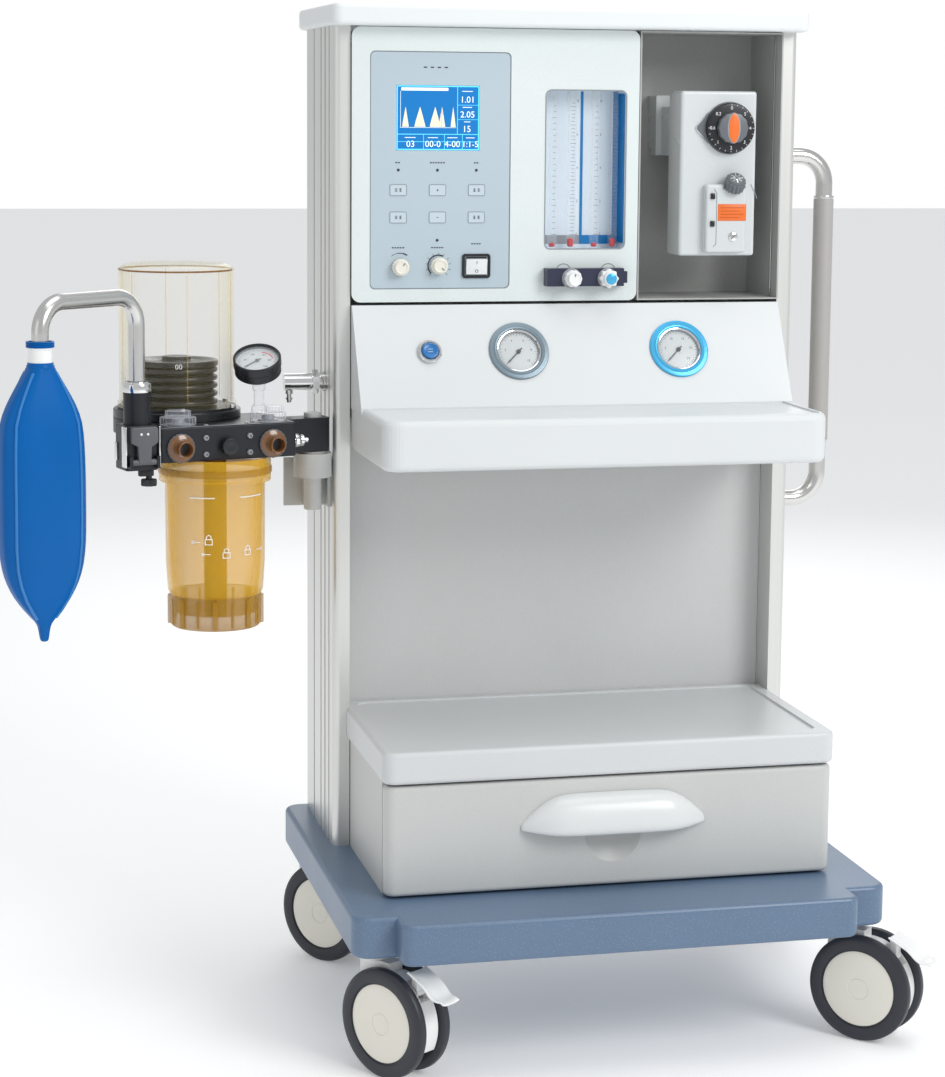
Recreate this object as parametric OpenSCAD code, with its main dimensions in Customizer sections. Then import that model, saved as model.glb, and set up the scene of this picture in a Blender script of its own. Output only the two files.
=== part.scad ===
// Anaesthesia machine on a braked trolley. A ventilator display, gas flow tubes and a vaporizer
// sit above a gauge console with a shelf, a deep drawer stands on the moulded base, and a swing
// arm on the left column carries the absorber, bellows, canister and breathing bag.
// Rest pose: drawer shut, arm swung a little forward, front casters braked. The front faces -Y.

/* [Cabinet] */
// Height of the whole machine above the floor
total_h = 1373; // [1360:1:1400]
// Width of the top cover
cover_w = 672; // [660:1:690]
// Depth of the top cover
cover_d = 284; // [270:1:300]
// Thickness of the top cover
cover_t = 29; // [24:1:34]
// Half width over the outer faces of the two side columns
column_x = 329; // [326:1:334]
// Width of a side column seen from the front
column_w = 23; // [20:1:23]
// Depth of a side column
column_d = 222; // [210:1:224]
// Height of the lower edge of the front panels
panel_z = 973; // [970:1:978]
// Plane of the painted front panels
panel_y = -6; // [-8:1:-6]

/* [Base] */
// Half width of the moulded base
tray_x = 362; // [355:1:370]
// Height of the top of the base
tray_top = 213; // [209:1:217]
// Thickness of the base
tray_t = 54; // [50:1:58]
// How far the middle of the base stands in front of the columns
tray_front = 377; // [372:1:382]
// How far the base corners stand in front of the columns
tray_corner = 335; // [330:1:340]
// How far the base reaches behind the column fronts
tray_back = 235; // [230:1:240]

/* [Casters] */
// Radius of a caster wheel
wheel_r = 72; // [70:1:72]
// Width over the two discs of one caster
wheel_w = 58; // [54:1:62]
// Distance from the swivel stem to the wheel axle
trail = 35; // [32:1:38]
// Half distance between left and right stems
stem_x = 322; // [318:1:324]

/* [Console] */
// Height of the top of the shelf lip
shelf_top = 836; // [830:1:840]
// Height of the shelf lip
shelf_t = 67; // [60:1:70]
// How far the shelf stands in front of the columns
shelf_front = 230; // [220:1:240]
// Outer diameter of a supply gauge flange
gauge_d = 84; // [78:1:88]
// Diameter of a supply gauge dial
dial_d = 62; // [58:1:66]

/* [Drawer] */
// Height of the top of the worktop above the drawer
worktop_top = 409; // [406:1:412]
// How far the drawer front stands in front of the columns
drawer_front = 262; // [258:1:266]
// Half width of the drawer front
drawer_x = 307; // [304:1:307]

/* [Absorber] */
// Angle of the absorber arm, swung forward from straight out sideways
arm_turn = 14; // [0:1:30]
// Diameter of the bellows dome
dome_d = 155; // [150:1:158]
// Diameter of the canister body
canister_d = 134; // [130:1:138]
// Diameter of the bag arm tube
bag_tube_d = 22; // [20:1:22]
// Largest width of the breathing bag
bag_w = 114; // [100:1:120]

/* [Hidden] */
$fn = 48;

// The whole machine is set so that the middle of its footprint is over the origin.
frame_x = 182;
frame_y = 75;

// Clearances
running = 0.05; // round shafts in their bores
gap = 0.3; // faces of separate bodies
seam = 1; // between painted panels

// Heights
cover_z = total_h - cover_t;
tray_z = tray_top - tray_t;
shelf_z = shelf_top - shelf_t;

// Colours
panel_white = [0.84, 0.87, 0.87];
shelf_white = [0.93, 0.94, 0.94];
warm_grey = [0.80, 0.81, 0.80];
bezel_blue = [0.76, 0.82, 0.86];
base_blue = [0.47, 0.60, 0.76];
dark_grey = [0.33, 0.34, 0.36];
near_black = [0.14, 0.15, 0.18];
steel = [0.75, 0.75, 0.74];
cream = [0.90, 0.87, 0.80];
amber = [0.85, 0.60, 0.20];
bag_blue = [0.0, 0.37, 0.70];

module placed() translate([frame_x, frame_y, 0]) children();

// A slab between two corners, with plan radius r and all its long edges rounded by e
module soft_slab(lo, hi, r, e)
  hull()
    for (x = [lo.x + r, hi.x - r], y = [lo.y + r, hi.y - r], z = [lo.z + e, hi.z - e])
      translate([x, y, z])
        rotate_extrude($fn = 32)
          intersection() {
            translate([r - e, 0]) circle(e, $fn = 16);
            translate([0, -e]) square([r, 2 * e]);
          }

// A flat outline between two corners with true round corners
module round_outline(lo, hi, r) {
  translate([lo.x + r, lo.y]) square([hi.x - lo.x - 2 * r, hi.y - lo.y]);
  translate([lo.x, lo.y + r]) square([hi.x - lo.x, hi.y - lo.y - 2 * r]);
  for (x = [lo.x + r, hi.x - r], y = [lo.y + r, hi.y - r]) translate([x, y]) circle(r);
}

// A block between two opposite corners
module box(lo, hi) translate(lo) cube(hi - lo);

// A plate standing in the XZ plane, from y0 back to y1, with round corners
module wall_plate(lo, hi, y0, y1, r)
  translate([0, y1, 0]) rotate([90, 0, 0]) linear_extrude(y1 - y0) round_outline(lo, hi, r);

// A cylinder that points out of the front, from y0 forward to y1
module front_rod(x, z, y0, y1, r)
  translate([x, y0, z]) rotate([90, 0, 0]) cylinder(h = y0 - y1, r = r);

// ---- Base and casters ----

front_stem_y = -286;
rear_stem_y = 187;
// Place and heading of each caster: the discs' outer side faces this angle left of the front
caster_fl = [-stem_x - 1, front_stem_y, 56];
caster_fr = [stem_x - 2, front_stem_y, 46];
caster_rl = [-stem_x - 2, rear_stem_y, 50];
caster_rr = [stem_x, rear_stem_y, 50];
casters = [caster_fl, caster_fr, caster_rl, caster_rr];
stem_r = 6;
boss_r = 16;
tray_wall = 5;

module tray_shape(inset, lo_z, hi_z, edge) {
  soft_slab([-tray_x + inset, -tray_corner + inset, lo_z],
            [tray_x - inset, tray_back - inset, hi_z], 24, edge);
  soft_slab([-drawer_x + inset, -tray_front + inset, lo_z],
            [drawer_x - inset, -200, hi_z], 16, edge);
}

module base_tray()
  color(base_blue) placed()
    difference() {
      union() {
        difference() {
          tray_shape(0, tray_z, tray_top, 6);
          difference() {
            box([-tray_x + tray_wall, -tray_corner + tray_wall, tray_z - 1],
                [tray_x - tray_wall, tray_back - tray_wall, tray_top - tray_wall]);
            for (x = [-1, 1], y = [-tray_corner, tray_back])
              translate([x * tray_x, y, tray_z - 2]) cylinder(h = tray_t, r = 30);
          }
        }
        for (c = casters) translate([c.x, c.y, tray_z + 2]) cylinder(h = tray_t - 6, r = boss_r);
      }
      for (c = casters)
        translate([c.x, c.y, tray_z - 1]) cylinder(h = 46, r = stem_r + running);
    }

// Everything of one caster is drawn with its stem on the Z axis and its axle along X,
// the outer disc toward -X, then turned to its heading.
module at_caster(c) placed() translate([c.x, c.y, 0]) rotate([0, 0, 90 - c.z]) children();

axle_r = 5;
disc_t = 16; // one tyre and hub
fork_gap = wheel_w - 2 * disc_t;
fork_w = fork_gap - 2;
fork_r = wheel_r - 8;
// Brake pedal pivot, measured outward from the axle and up from the floor
pedal_pin_y = 40;
pedal_pin_z = wheel_r + 46;
pedal_pin_r = 3;
pedal_slot_w = 16;
pedal_slope = 25;

module pedal_pin(r, w)
  translate([-w / 2, -trail - pedal_pin_y, pedal_pin_z]) rotate([0, 90, 0]) cylinder(h = w, r = r);

module caster_fork(c, braked)
  color(cream) at_caster(c)
    difference() {
      union() {
        translate([0, 0, wheel_r * 2 + 3]) cylinder(h = tray_z - 5 - wheel_r * 2, r = 20);
        translate([0, 0, tray_z - 3]) cylinder(h = 45, r = stem_r);
        box([-fork_w / 2, -trail, wheel_r + 20], [fork_w / 2, 18, wheel_r * 2 + 4]);
        difference() {
          union() {
            translate([-fork_w / 2, -trail, wheel_r]) rotate([0, 90, 0])
              cylinder(h = fork_w, r = fork_r);
          }
          box([-fork_w, -trail - fork_r, 0], [fork_w, -trail + fork_r, wheel_r - 30]);
          if (braked)
            box([-pedal_slot_w / 2, -trail - fork_r - 2, pedal_pin_z - 10],
                [pedal_slot_w / 2, -trail - pedal_pin_y + 14, wheel_r * 2]);
        }
        if (braked) pedal_pin(pedal_pin_r, fork_w);
      }
      translate([-fork_gap, -trail, wheel_r]) rotate([0, 90, 0])
        cylinder(h = 2 * fork_gap, r = axle_r + running);
    }

module disc_outline()
  intersection() {
    round_outline([-wheel_r, 0], [wheel_r, disc_t], 5);
    square([wheel_r, disc_t]);
  }

// Twin discs on one axle, each with a shallow step where the hub cover meets the tyre
module caster_wheel(c)
  color(near_black) at_caster(c) translate([0, -trail, wheel_r]) {
    translate([-fork_gap / 2 - 1, 0, 0]) rotate([0, 90, 0])
      cylinder(h = fork_gap + 2, r = axle_r);
    for (side = [0, 1])
      mirror([side, 0, 0]) translate([fork_gap / 2, 0, 0]) rotate([0, 90, 0])
        difference() {
          rotate_extrude() disc_outline();
          translate([0, 0, disc_t - 1.5]) cylinder(h = 3, r = wheel_r * 0.72);
        }
  }

module brake_pedal(c)
  color(cream) at_caster(c)
    difference() {
      union() {
        pedal_pin(6, pedal_slot_w - 2 * gap);
        translate([0, -trail - pedal_pin_y, pedal_pin_z])
          box([-pedal_slot_w / 2 + gap, -5, 0], [pedal_slot_w / 2 - gap, 5, 24]);
        translate([0, -trail - pedal_pin_y, pedal_pin_z + 24]) rotate([pedal_slope, 0, 0])
          soft_slab([-18, -66, -2], [18, 6, 3], 6, 2);
      }
      pedal_pin(pedal_pin_r + running, pedal_slot_w + 2);
    }

module fork_fl() caster_fork(caster_fl, true);
module fork_fr() caster_fork(caster_fr, true);
module fork_rl() caster_fork(caster_rl, false);
module fork_rr() caster_fork(caster_rr, false);
module wheel_fl() caster_wheel(caster_fl);
module wheel_fr() caster_wheel(caster_fr);
module wheel_rl() caster_wheel(caster_rl);
module wheel_rr() caster_wheel(caster_rr);
module brake_fl() brake_pedal(caster_fl);
module brake_fr() brake_pedal(caster_fr);

// ---- Cabinet ----

column_in = column_x - column_w;
panel_top = cover_z - seam;
// The painted front panel ends where the vaporizer bay begins
bay_x = 98.5;
bay_back = 123;
sheet = 2;

module column()
  translate([column_in, 0, tray_top])
    linear_extrude(cover_z - tray_top)
      difference() {
        union() {
          square([14, column_d]);
          translate([0, 9]) square([column_w, column_d - 18]);
          for (y = [9, column_d - 9]) translate([14, y]) circle(9);
        }
        translate([3, 14]) square([column_w - 10, column_d - 28]);
        for (y = [30, 62, 94, 150]) translate([column_w - 3, y]) square([4, 8]);
      }

module columns()
  color(steel) placed()
    for (side = [0, 1]) mirror([side, 0, 0]) column();

cover_back = 251;
module top_cover()
  color(shelf_white) placed()
    difference() {
      soft_slab([-cover_w / 2, cover_back - cover_d, cover_z], [cover_w / 2, cover_back, total_h], 14, 6);
      box([-cover_w / 2 + 14, 6, cover_z - 1], [cover_w / 2 - 14, cover_back - 14, total_h - 5]);
    }

// Sheet back with louvres, two gas inlet stubs and a mains socket
module rear_panel()
  color(panel_white) placed() {
    y0 = column_d - 6;
    difference() {
      box([-column_in + gap, y0, tray_top], [column_in - gap, y0 + sheet, cover_z]);
      for (z = [1150:16:1246])
        wall_plate([-200, z], [-60, z + 6], y0 - 1, y0 + sheet + 1, 2.9);
      for (x = [-60, 60]) translate([x, y0 - 1, 560]) rotate([-90, 0, 0]) cylinder(h = 4, r = 7);
      box([170, y0 - 1, 520], [218, y0 + sheet + 1, 548]);
    }
    for (x = [-60, 60])
      translate([x, y0 - 8, 560]) rotate([-90, 0, 0])
        difference() {
          union() {
            cylinder(h = 34, r = 6.5);
            translate([0, 0, 8 + sheet]) cylinder(h = 8, r = 13, $fn = 6);
          }
          translate([0, 0, 12]) cylinder(h = 30, r = 4);
        }
    difference() {
      box([172, y0 - 16, 522], [216, y0 + sheet + 3, 546]);
      box([176, y0 - 12, 526], [212, y0 + sheet + 4, 542]);
    }
  }

lower_y = 50;
module lower_panel()
  color(warm_grey) placed()
    box([-column_in + gap, lower_y, tray_top], [column_in - gap, lower_y + sheet, shelf_z + 40]);

// Display bezel area
bezel_lo = [-280, 991];
bezel_hi = [-85, 1311];
lcd_lo = [-244, 1178.5];
lcd_hi = [-128.5, 1266];
window_lo = [-36, 1044];
window_hi = [80, 1262];
bezel_y = panel_y + 0.8;

module front_panel()
  color(panel_white) placed()
    difference() {
      wall_plate([-column_in + seam, panel_z], [bay_x - seam, panel_top], panel_y, panel_y + 4, 12);
      wall_plate(bezel_lo - [gap, gap], bezel_hi + [gap, gap], panel_y - 1, panel_y + 6, 7);
      wall_plate(window_lo, window_hi, panel_y - 1, panel_y + 6, 8);
    }

// Knobs and keys of the ventilator panel
volume_pos = [-238.4, 1020.6];
trigger_pos = [-184.7, 1022.3];
rocker_lo = [-152, 1005];
rocker_hi = [-112, 1038.5];
rocker_rim = 4.5;
rocker_tilt = 7;
key_size = [22.8, 14.8];
knob_shaft_r = 3;

module display_bezel()
  color(bezel_blue) placed() {
    rim = [rocker_rim, rocker_rim];
    difference() {
      wall_plate(bezel_lo, bezel_hi, bezel_y, bezel_y + 5, 7);
      box([lcd_lo.x, bezel_y - 1, lcd_lo.y], [lcd_hi.x, bezel_y + 6, lcd_hi.y]);
      for (p = [volume_pos, trigger_pos])
        front_rod(p.x, p.y, bezel_y + 6, bezel_y - 1, knob_shaft_r + running);
      wall_plate(rocker_lo + rim, rocker_hi - rim, bezel_y - 1, bezel_y + 6, 2);
    }
    difference() {
      wall_plate(rocker_lo, rocker_hi, bezel_y - 2, bezel_y, 3);
      wall_plate(rocker_lo + rim, rocker_hi - rim, bezel_y - 3, bezel_y + 1, 2);
    }
  }

module lcd_screen()
  color([0.1, 0.35, 0.8]) placed()
    box([lcd_lo.x + 0.1, bezel_y + 0.6, lcd_lo.y + 0.1], [lcd_hi.x - 0.1, bezel_y + 12, lcd_hi.y - 0.1]);

module keypad()
  color(bezel_blue) placed()
    for (x = [-241, -186.5, -132], z = [1125, 1088])
      wall_plate([x, z] - key_size / 2, [x, z] + key_size / 2, bezel_y - 0.5, bezel_y, 2);

module panel_knob(pos, face_y, length, r, shaft)
  difference() {
    union() {
      front_rod(pos.x, pos.y, face_y - 0.8, face_y - length, r);
      front_rod(pos.x, pos.y, face_y + shaft, face_y - 2, knob_shaft_r);
    }
    front_rod(pos.x, pos.y, face_y - length + 1, face_y - length - 1, r * 0.72);
  }

module volume_knob() color(cream) placed() panel_knob(volume_pos, bezel_y, 16, 12, 12);
module trigger_knob() color(cream) placed() panel_knob(trigger_pos, bezel_y, 16, 12, 12);

// The rocker's two faces lean 7 degrees either way; the upper half is pressed at rest
module power_rocker()
  color([0.80, 0.82, 0.82]) placed() {
    mid = (rocker_lo + rocker_hi) / 2;
    half = (rocker_hi - rocker_lo) / 2 - [rocker_rim + 0.6, rocker_rim + 1.2];
    rise = half.y * sin(rocker_tilt);
    translate([mid.x - half.x, bezel_y + 2, mid.y]) rotate([rocker_tilt, 0, 0])
      rotate([90, 0, 90]) linear_extrude(2 * half.x)
        polygon([[-5 - rise, half.y], [-5, 0], [-5 - rise, -half.y], [2, -half.y], [2, half.y]]);
  }

// ---- Flow tubes ----

tube_y = 15;
tube_xs = [-19.6, 6.9, 40.7, 67.4];
tube_r = 6.5;
tube_bore = 4.6;
window_wall = 3;

module flow_window()
  color([0.86, 0.90, 0.92]) placed()
    difference() {
      wall_plate(window_lo - [window_wall, window_wall], window_hi + [window_wall, window_wall],
                 panel_y + 4, 36, 8);
      wall_plate(window_lo, window_hi, panel_y, 33, 8);
    }

module flow_tubes()
  color([0.85, 0.92, 0.95], 0.4) placed()
    for (x = tube_xs)
      translate([x, tube_y, window_lo.y])
        difference() {
          cylinder(h = window_hi.y - window_lo.y, r = tube_r);
          translate([0, 0, 2]) cylinder(h = window_hi.y - window_lo.y, r = tube_bore);
        }

module float_pair(first) {
  for (i = [0, 1])
    translate([tube_xs[first + i], tube_y, window_lo.y + 2.2])
      cylinder(h = [6, 12][i], r = tube_bore - 0.3);
}

module n2o_floats() color([0.8, 0.1, 0.1]) placed() float_pair(0);
module o2_floats() color([0.8, 0.1, 0.1]) placed() float_pair(2);

manifold_y = -24;
n2o_pos = [-1, 1005];
o2_pos = [50, 1005];
module flow_manifold()
  color([0.10, 0.13, 0.20]) placed()
    difference() {
      union() {
        box([-36, manifold_y, 994], [74, panel_y, 1018.5]);
        box([74, manifold_y + 4, 998], [80, panel_y, 1014]);
      }
      for (p = [n2o_pos, o2_pos])
        front_rod(p.x, p.y, panel_y - 3, manifold_y - 1, knob_shaft_r + running);
    }

module n2o_knob() color(shelf_white) placed() panel_knob(n2o_pos, manifold_y, 21, 12, 12);
module o2_knob() color([0.3, 0.55, 0.85]) placed() panel_knob(o2_pos, manifold_y, 21, 12, 12);

// ---- Vaporizer ----

module vaporizer_bay()
  color(dark_grey) placed()
    difference() {
      box([bay_x, panel_y, panel_z], [column_in - gap, bay_back + sheet, panel_top]);
      box([bay_x + sheet, panel_y - 1, panel_z + sheet],
          [column_in - gap - sheet, bay_back, panel_top - sheet]);
    }

vap_lo = [154, -20, 1035];
vap_hi = [264, 39, 1262];
vap_dial_pos = [223, 1211.5];
vap_shaft_r = 5;
filler_lo = [188, -34, 1040];
filler_hi = [246, -20, 1134];
filler_cap_pos = [228, -30, 1128];
filler_tilt = 42;

module at_filler() translate(filler_cap_pos) rotate([filler_tilt, 0, 0]) children();
module on_filler() placed() at_filler() children();

module vaporizer_body() {
  color(shelf_white) placed()
    difference() {
      union() {
        soft_slab(vap_lo, vap_hi, 5, 4);
        // Seat ring and pointer of the dial
        front_rod(vap_dial_pos.x, vap_dial_pos.y, vap_lo.y + 1, vap_lo.y - 3, 37);
        hull() {
          front_rod(vap_dial_pos.x, vap_dial_pos.y, vap_lo.y + 1, vap_lo.y - 3, 36, $fn = 32);
          front_rod(vap_dial_pos.x - 42, vap_dial_pos.y, vap_lo.y + 1, vap_lo.y - 3, 6, $fn = 32);
        }
        // Filler block with its clamp groove
        soft_slab(filler_lo, filler_hi + [0, 3, 0], 4, 3);
        // Mounting bar and its two hooks on the bay's back
        box([158, vap_hi.y - 1, 1172], [236, 84, 1240]);
        box([150, 84, 1172], [176, bay_back, 1256]);
        box([216, 84, 1172], [242, bay_back, 1256]);
      }
      front_rod(vap_dial_pos.x, vap_dial_pos.y, vap_lo.y + 12, vap_lo.y - 4, vap_shaft_r + running);
      box([filler_lo.x - 1, filler_lo.y + 4, filler_lo.z + 6], [filler_lo.x + 2, filler_lo.y + 6, filler_hi.z - 8]);
      at_filler() {
        translate([0, 0, 2]) cylinder(h = 30, r = 17);
        translate([0, 0, -12]) cylinder(h = 20, r = knob_shaft_r + running);
      }
    }
}

module vaporizer_dial()
  color(near_black) placed() {
    y0 = vap_lo.y - 3;
    front_rod(vap_dial_pos.x, vap_dial_pos.y, y0 - gap, y0 - 9, 35);
    front_rod(vap_dial_pos.x, vap_dial_pos.y, y0 - 8, y0 - 20, 21);
    front_rod(vap_dial_pos.x, vap_dial_pos.y, y0 + 14, y0 - 2, vap_shaft_r);
  }

module filler_cap()
  color([0.5, 0.52, 0.55]) on_filler() {
    translate([0, 0, 2 + gap]) cylinder(h = 18, r = 14.5);
    translate([0, 0, -11]) cylinder(h = 14, r = knob_shaft_r);
  }

// ---- Console ----

slope_top = [-8, panel_z - 4];
slope_foot = [-77, shelf_top];
slope_tilt = atan((slope_top.x - slope_foot.x) / (slope_top.y - slope_foot.y));
gauge_h = 907;
gauge_depth = 30;
n2o_gauge_x = -79;
o2_gauge_x = 150;
flush_x = -204;
flush_r = 11.5;

// Puts a shape on the sloped panel at height z, its own +Z pointing out of the panel
module on_slope(x, z)
  placed()
    translate([x, slope_foot.x + (z - slope_foot.y) * tan(slope_tilt), z])
      rotate([90 - slope_tilt, 0, 0]) children();

module console_wedge(inset, half)
  translate([-half, 0, 0]) rotate([90, 0, 90]) linear_extrude(2 * half)
    polygon([[-inset - seam, shelf_top - 8 + inset], [slope_foot.x + inset, shelf_top - 8 + inset],
             [slope_foot.x + inset, shelf_top], [slope_top.x + inset, slope_top.y - inset],
             [-inset - seam, slope_top.y - inset]]);

module console()
  color(shelf_white) {
    difference() {
      placed() {
        difference() {
          console_wedge(0, column_in - seam);
          console_wedge(3, column_in - 5);
        }
        difference() {
          soft_slab([-304, -shelf_front, shelf_z], [304, lower_y - 2, shelf_top], 26, 9);
          box([-column_x - 4, -seam, shelf_z - 1], [column_x + 4, lower_y, shelf_top + 1]);
          box([-298, -shelf_front + 30, shelf_z - 1], [298, -7, shelf_top - 5]);
          // Shallow rimmed top
          box([-292, -shelf_front + 10, shelf_top - 2.5], [292, slope_foot.x, shelf_top + 1]);
        }
      }
      for (x = [n2o_gauge_x, o2_gauge_x])
        on_slope(x, gauge_h) translate([0, 0, -40]) cylinder(h = 60, r = dial_d / 2 + 2);
      on_slope(flush_x, gauge_h) translate([0, 0, -20]) cylinder(h = 30, r = flush_r + 0.5);
    }
    on_slope(flush_x, gauge_h)
      difference() {
        cylinder(h = 5, r = 16);
        translate([0, 0, -1]) cylinder(h = 8, r = flush_r + 0.5);
      }
  }

module supply_gauges()
  color([0.55, 0.66, 0.72])
    for (x = [n2o_gauge_x, o2_gauge_x])
      on_slope(x, gauge_h)
        difference() {
          union() {
            translate([0, 0, gap]) cylinder(h = 5, r = gauge_d / 2);
            translate([0, 0, -gauge_depth]) cylinder(h = gauge_depth + 1, r = dial_d / 2 + 1.5);
          }
          translate([0, 0, -3]) cylinder(h = 12, r = dial_d / 2);
          translate([0, 0, -8]) cylinder(h = 12, r = 1.5 + running);
        }

// Needle over the dial; it points down and to the left at rest
needle_z = -1.6;
module gauge_needle(length) {
  translate([0, 0, -7]) cylinder(h = 6.6, r = 1.5);
  translate([0, 0, needle_z]) cylinder(h = 1.6, r = 3);
  rotate([0, 0, 225]) translate([-7, -0.7, needle_z]) cube([length + 7, 1.4, 1]);
}
module n2o_needle() color(near_black) on_slope(n2o_gauge_x, gauge_h) gauge_needle(23);
module o2_needle() color(near_black) on_slope(o2_gauge_x, gauge_h) gauge_needle(23);

module flush_button()
  color([0.2, 0.45, 0.8]) on_slope(flush_x, gauge_h) {
    translate([0, 0, -8]) cylinder(h = 15, r = flush_r);
    translate([0, 0, -12]) cylinder(h = 5, r = 4);
  }

// ---- Drawer ----

worktop_z = worktop_top - 43;
drawer_lo = [-drawer_x, -drawer_front, tray_top + 3];
drawer_hi = [drawer_x, -drawer_front + 32, worktop_z - 3];
runner_z = tray_top + 12;
tray_half = 282; // half width of the drawer's box
case_in = 301; // inner faces of the drawer case

module worktop()
  color(shelf_white) placed()
    difference() {
      soft_slab([-310, -drawer_front - 4, worktop_z], [310, lower_y, worktop_top], 18, 6);
      box([-column_x, -seam, worktop_z - 1], [-column_in + gap, lower_y + 1, worktop_top + 1]);
      box([column_in - gap, -seam, worktop_z - 1], [column_x, lower_y + 1, worktop_top + 1]);
      // Shallow tray in the top, and the hollow underside
      soft_slab([-290, -drawer_front + 18, worktop_top - 3], [290, lower_y - 14, worktop_top + 20], 14, 2);
      box([-300, -drawer_front + 8, worktop_z - 1], [300, lower_y - 8, worktop_top - 7]);
    }

module drawer_case()
  color(warm_grey) placed()
    for (side = [0, 1])
      mirror([side, 0, 0]) {
        box([case_in, drawer_hi.y + seam, tray_top], [case_in + 4, lower_y, worktop_z]);
        box([tray_half + gap, drawer_hi.y + 6, runner_z - 4], [case_in, lower_y - 4, runner_z]);
      }

module drawer_tray()
  color(warm_grey) placed()
    difference() {
      union() {
        soft_slab(drawer_lo, drawer_hi, 14, 6);
        box([-tray_half, drawer_hi.y - 8, runner_z - 8], [tray_half, 30, worktop_z - 30]);
        for (side = [0, 1])
          mirror([side, 0, 0])
            box([tray_half - 1, drawer_hi.y - 8, runner_z + gap], [case_in - 1, 26, runner_z + 5]);
      }
      box([-tray_half + 3, drawer_hi.y, runner_z - 5], [tray_half - 3, 27, worktop_z]);
      // Finger scoop under the pull
      translate([0, -drawer_front - 46, worktop_z - 80]) sphere(r = 60);
    }

pull_z = worktop_z - 72;
module pull_bar(half, y, z, r)
  for (x = [-half, half]) translate([x, y, z]) sphere(r = r, $fn = 20);

module drawer_handle()
  color(shelf_white) placed()
    difference() {
      hull() {
        pull_bar(64, -drawer_front - 3, pull_z + 41, 6);
        pull_bar(120, -drawer_front - 4, pull_z + 2, 5);
        pull_bar(84, -drawer_front - 26, pull_z + 4, 5);
        pull_bar(60, -drawer_front - 22, pull_z + 26, 6);
      }
      hull() {
        pull_bar(52, -drawer_front - 2, pull_z + 34, 4);
        pull_bar(100, -drawer_front - 2, pull_z - 12, 6);
        pull_bar(74, -drawer_front - 21, pull_z - 12, 5);
        pull_bar(52, -drawer_front - 17, pull_z + 22, 4);
      }
      box([-140, -drawer_front, pull_z - 30], [140, -drawer_front + 10, pull_z + 60]);
    }

// ---- Side handle ----

handle_y = 110;
handle_x = 415;
handle_top = 1172;
handle_foot = 670;
handle_r = 12;
handle_bend = 40;

module handle_corner(z, turn)
  translate([handle_x - handle_bend, handle_y, z])
    rotate([90, turn, 0]) rotate_extrude(angle = 90) translate([handle_bend, 0]) circle(handle_r);

module side_handle()
  color(steel) placed() {
    for (z = [handle_top, handle_foot]) translate([column_x, handle_y, z]) rotate([0, 90, 0]) {
      cylinder(h = handle_x - handle_bend - column_x, r = handle_r);
      cylinder(h = 5, r = 18);
    }
    translate([handle_x, handle_y, handle_foot + handle_bend])
      cylinder(h = handle_top - handle_foot - 2 * handle_bend, r = handle_r);
    handle_corner(handle_top - handle_bend, 0);
    handle_corner(handle_foot + handle_bend, 90);
    translate([handle_x, handle_y, 760]) cylinder(h = 350, r = 14.5);
  }

// ---- Inside ----

module control_box()
  color(dark_grey) placed() {
    difference() {
      box([-290, 42, 1000], [60, 200, 1325]);
      box([-287, 45, 1003], [57, 197, 1322]);
    }
    // Supply regulators and the flush valve behind the console
    for (x = [n2o_gauge_x, o2_gauge_x]) translate([x, 60, 860]) {
      cylinder(h = 70, r = 24);
      rotate([-90, 0, 0]) cylinder(h = 40, r = 9);
    }
    translate([flush_x, 50, 880]) cylinder(h = 50, r = 15);
  }

// ---- Absorber arm ----

post_x = -357;
post_y = 5;
post_r = 12;
arm_lo = 771;
arm_hi = 817;
arm_half = 18;
arm_end = 20;

module on_arm() placed() translate([post_x, post_y, 0]) rotate([0, 0, arm_turn]) children();

module arm_bracket()
  color(warm_grey) placed() {
    translate([post_x, post_y, 0]) {
      translate([0, 0, 690]) cylinder(h = arm_hi + 6 - 690, r = post_r);
      translate([0, 0, 735]) cylinder(h = 33, r = 26);
      translate([0, 0, 768]) cylinder(h = arm_lo - 768 - gap, r = 20);
      box([-9, 0, 692], [9, 38, 730]);
    }
    box([-391, 40, 690], [-column_x - gap, 46, 757]);
    box([-column_x - 5, 18, 690], [-column_x - gap, 80, 757]);
  }

outlet_y = 70;
outlet_z = 858;
module gas_outlet()
  color(steel) placed()
    union() {
      translate([-column_x - gap, outlet_y, outlet_z]) rotate([0, -90, 0]) {
        cylinder(h = 57, r = 12);
        cylinder(h = 7, r = 14);
        translate([0, 0, 9]) cylinder(h = 9, r = 17, $fn = 6);
      }
      translate([-379, outlet_y, outlet_z - 28]) {
        cylinder(h = 28, r = 3.5);
        translate([0, 0, 12]) cylinder(h = 5, r = 5.5);
        translate([0, 0, 4]) cylinder(h = 3, r = 5);
      }
    }

module swing_arm()
  color(near_black) on_arm()
    difference() {
      union() {
        box([-50, -arm_half, arm_lo], [arm_end - 8, arm_half, arm_hi]);
        box([0, -arm_half + 8, arm_lo], [arm_end, arm_half - 8, arm_hi]);
        for (y = [-1, 1])
          translate([arm_end - 8, y * (arm_half - 8), arm_lo]) cylinder(h = arm_hi - arm_lo, r = 8);
      }
      translate([0, 0, arm_lo - 1]) cylinder(h = arm_hi - arm_lo + 2, r = post_r + running);
    }

block_lo = [-243, -62, 773];
block_hi = [-50, 58, 819];
bellows_at = [-171, 67];
base_top = 834;
port_xs = [-215, -85];
port_z = 792;
port_bore = 8.5;
module_lo = [-290, -62, 765];
module_hi = [-245, -18, 824];
bag_post = [-267, -41];
bag_post_top = 866;
bag_post_floor = 836;
lever_pin_z = 777;
lever_pin_y = -67.5;
lever_pin_r = 4;
lock_at = [-252, -42];
canister_at = [-146, -8];

module lever_axis(x0, x1, r)
  translate([x0, lever_pin_y, lever_pin_z]) rotate([0, 90, 0]) cylinder(h = x1 - x0, r = r);

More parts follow.
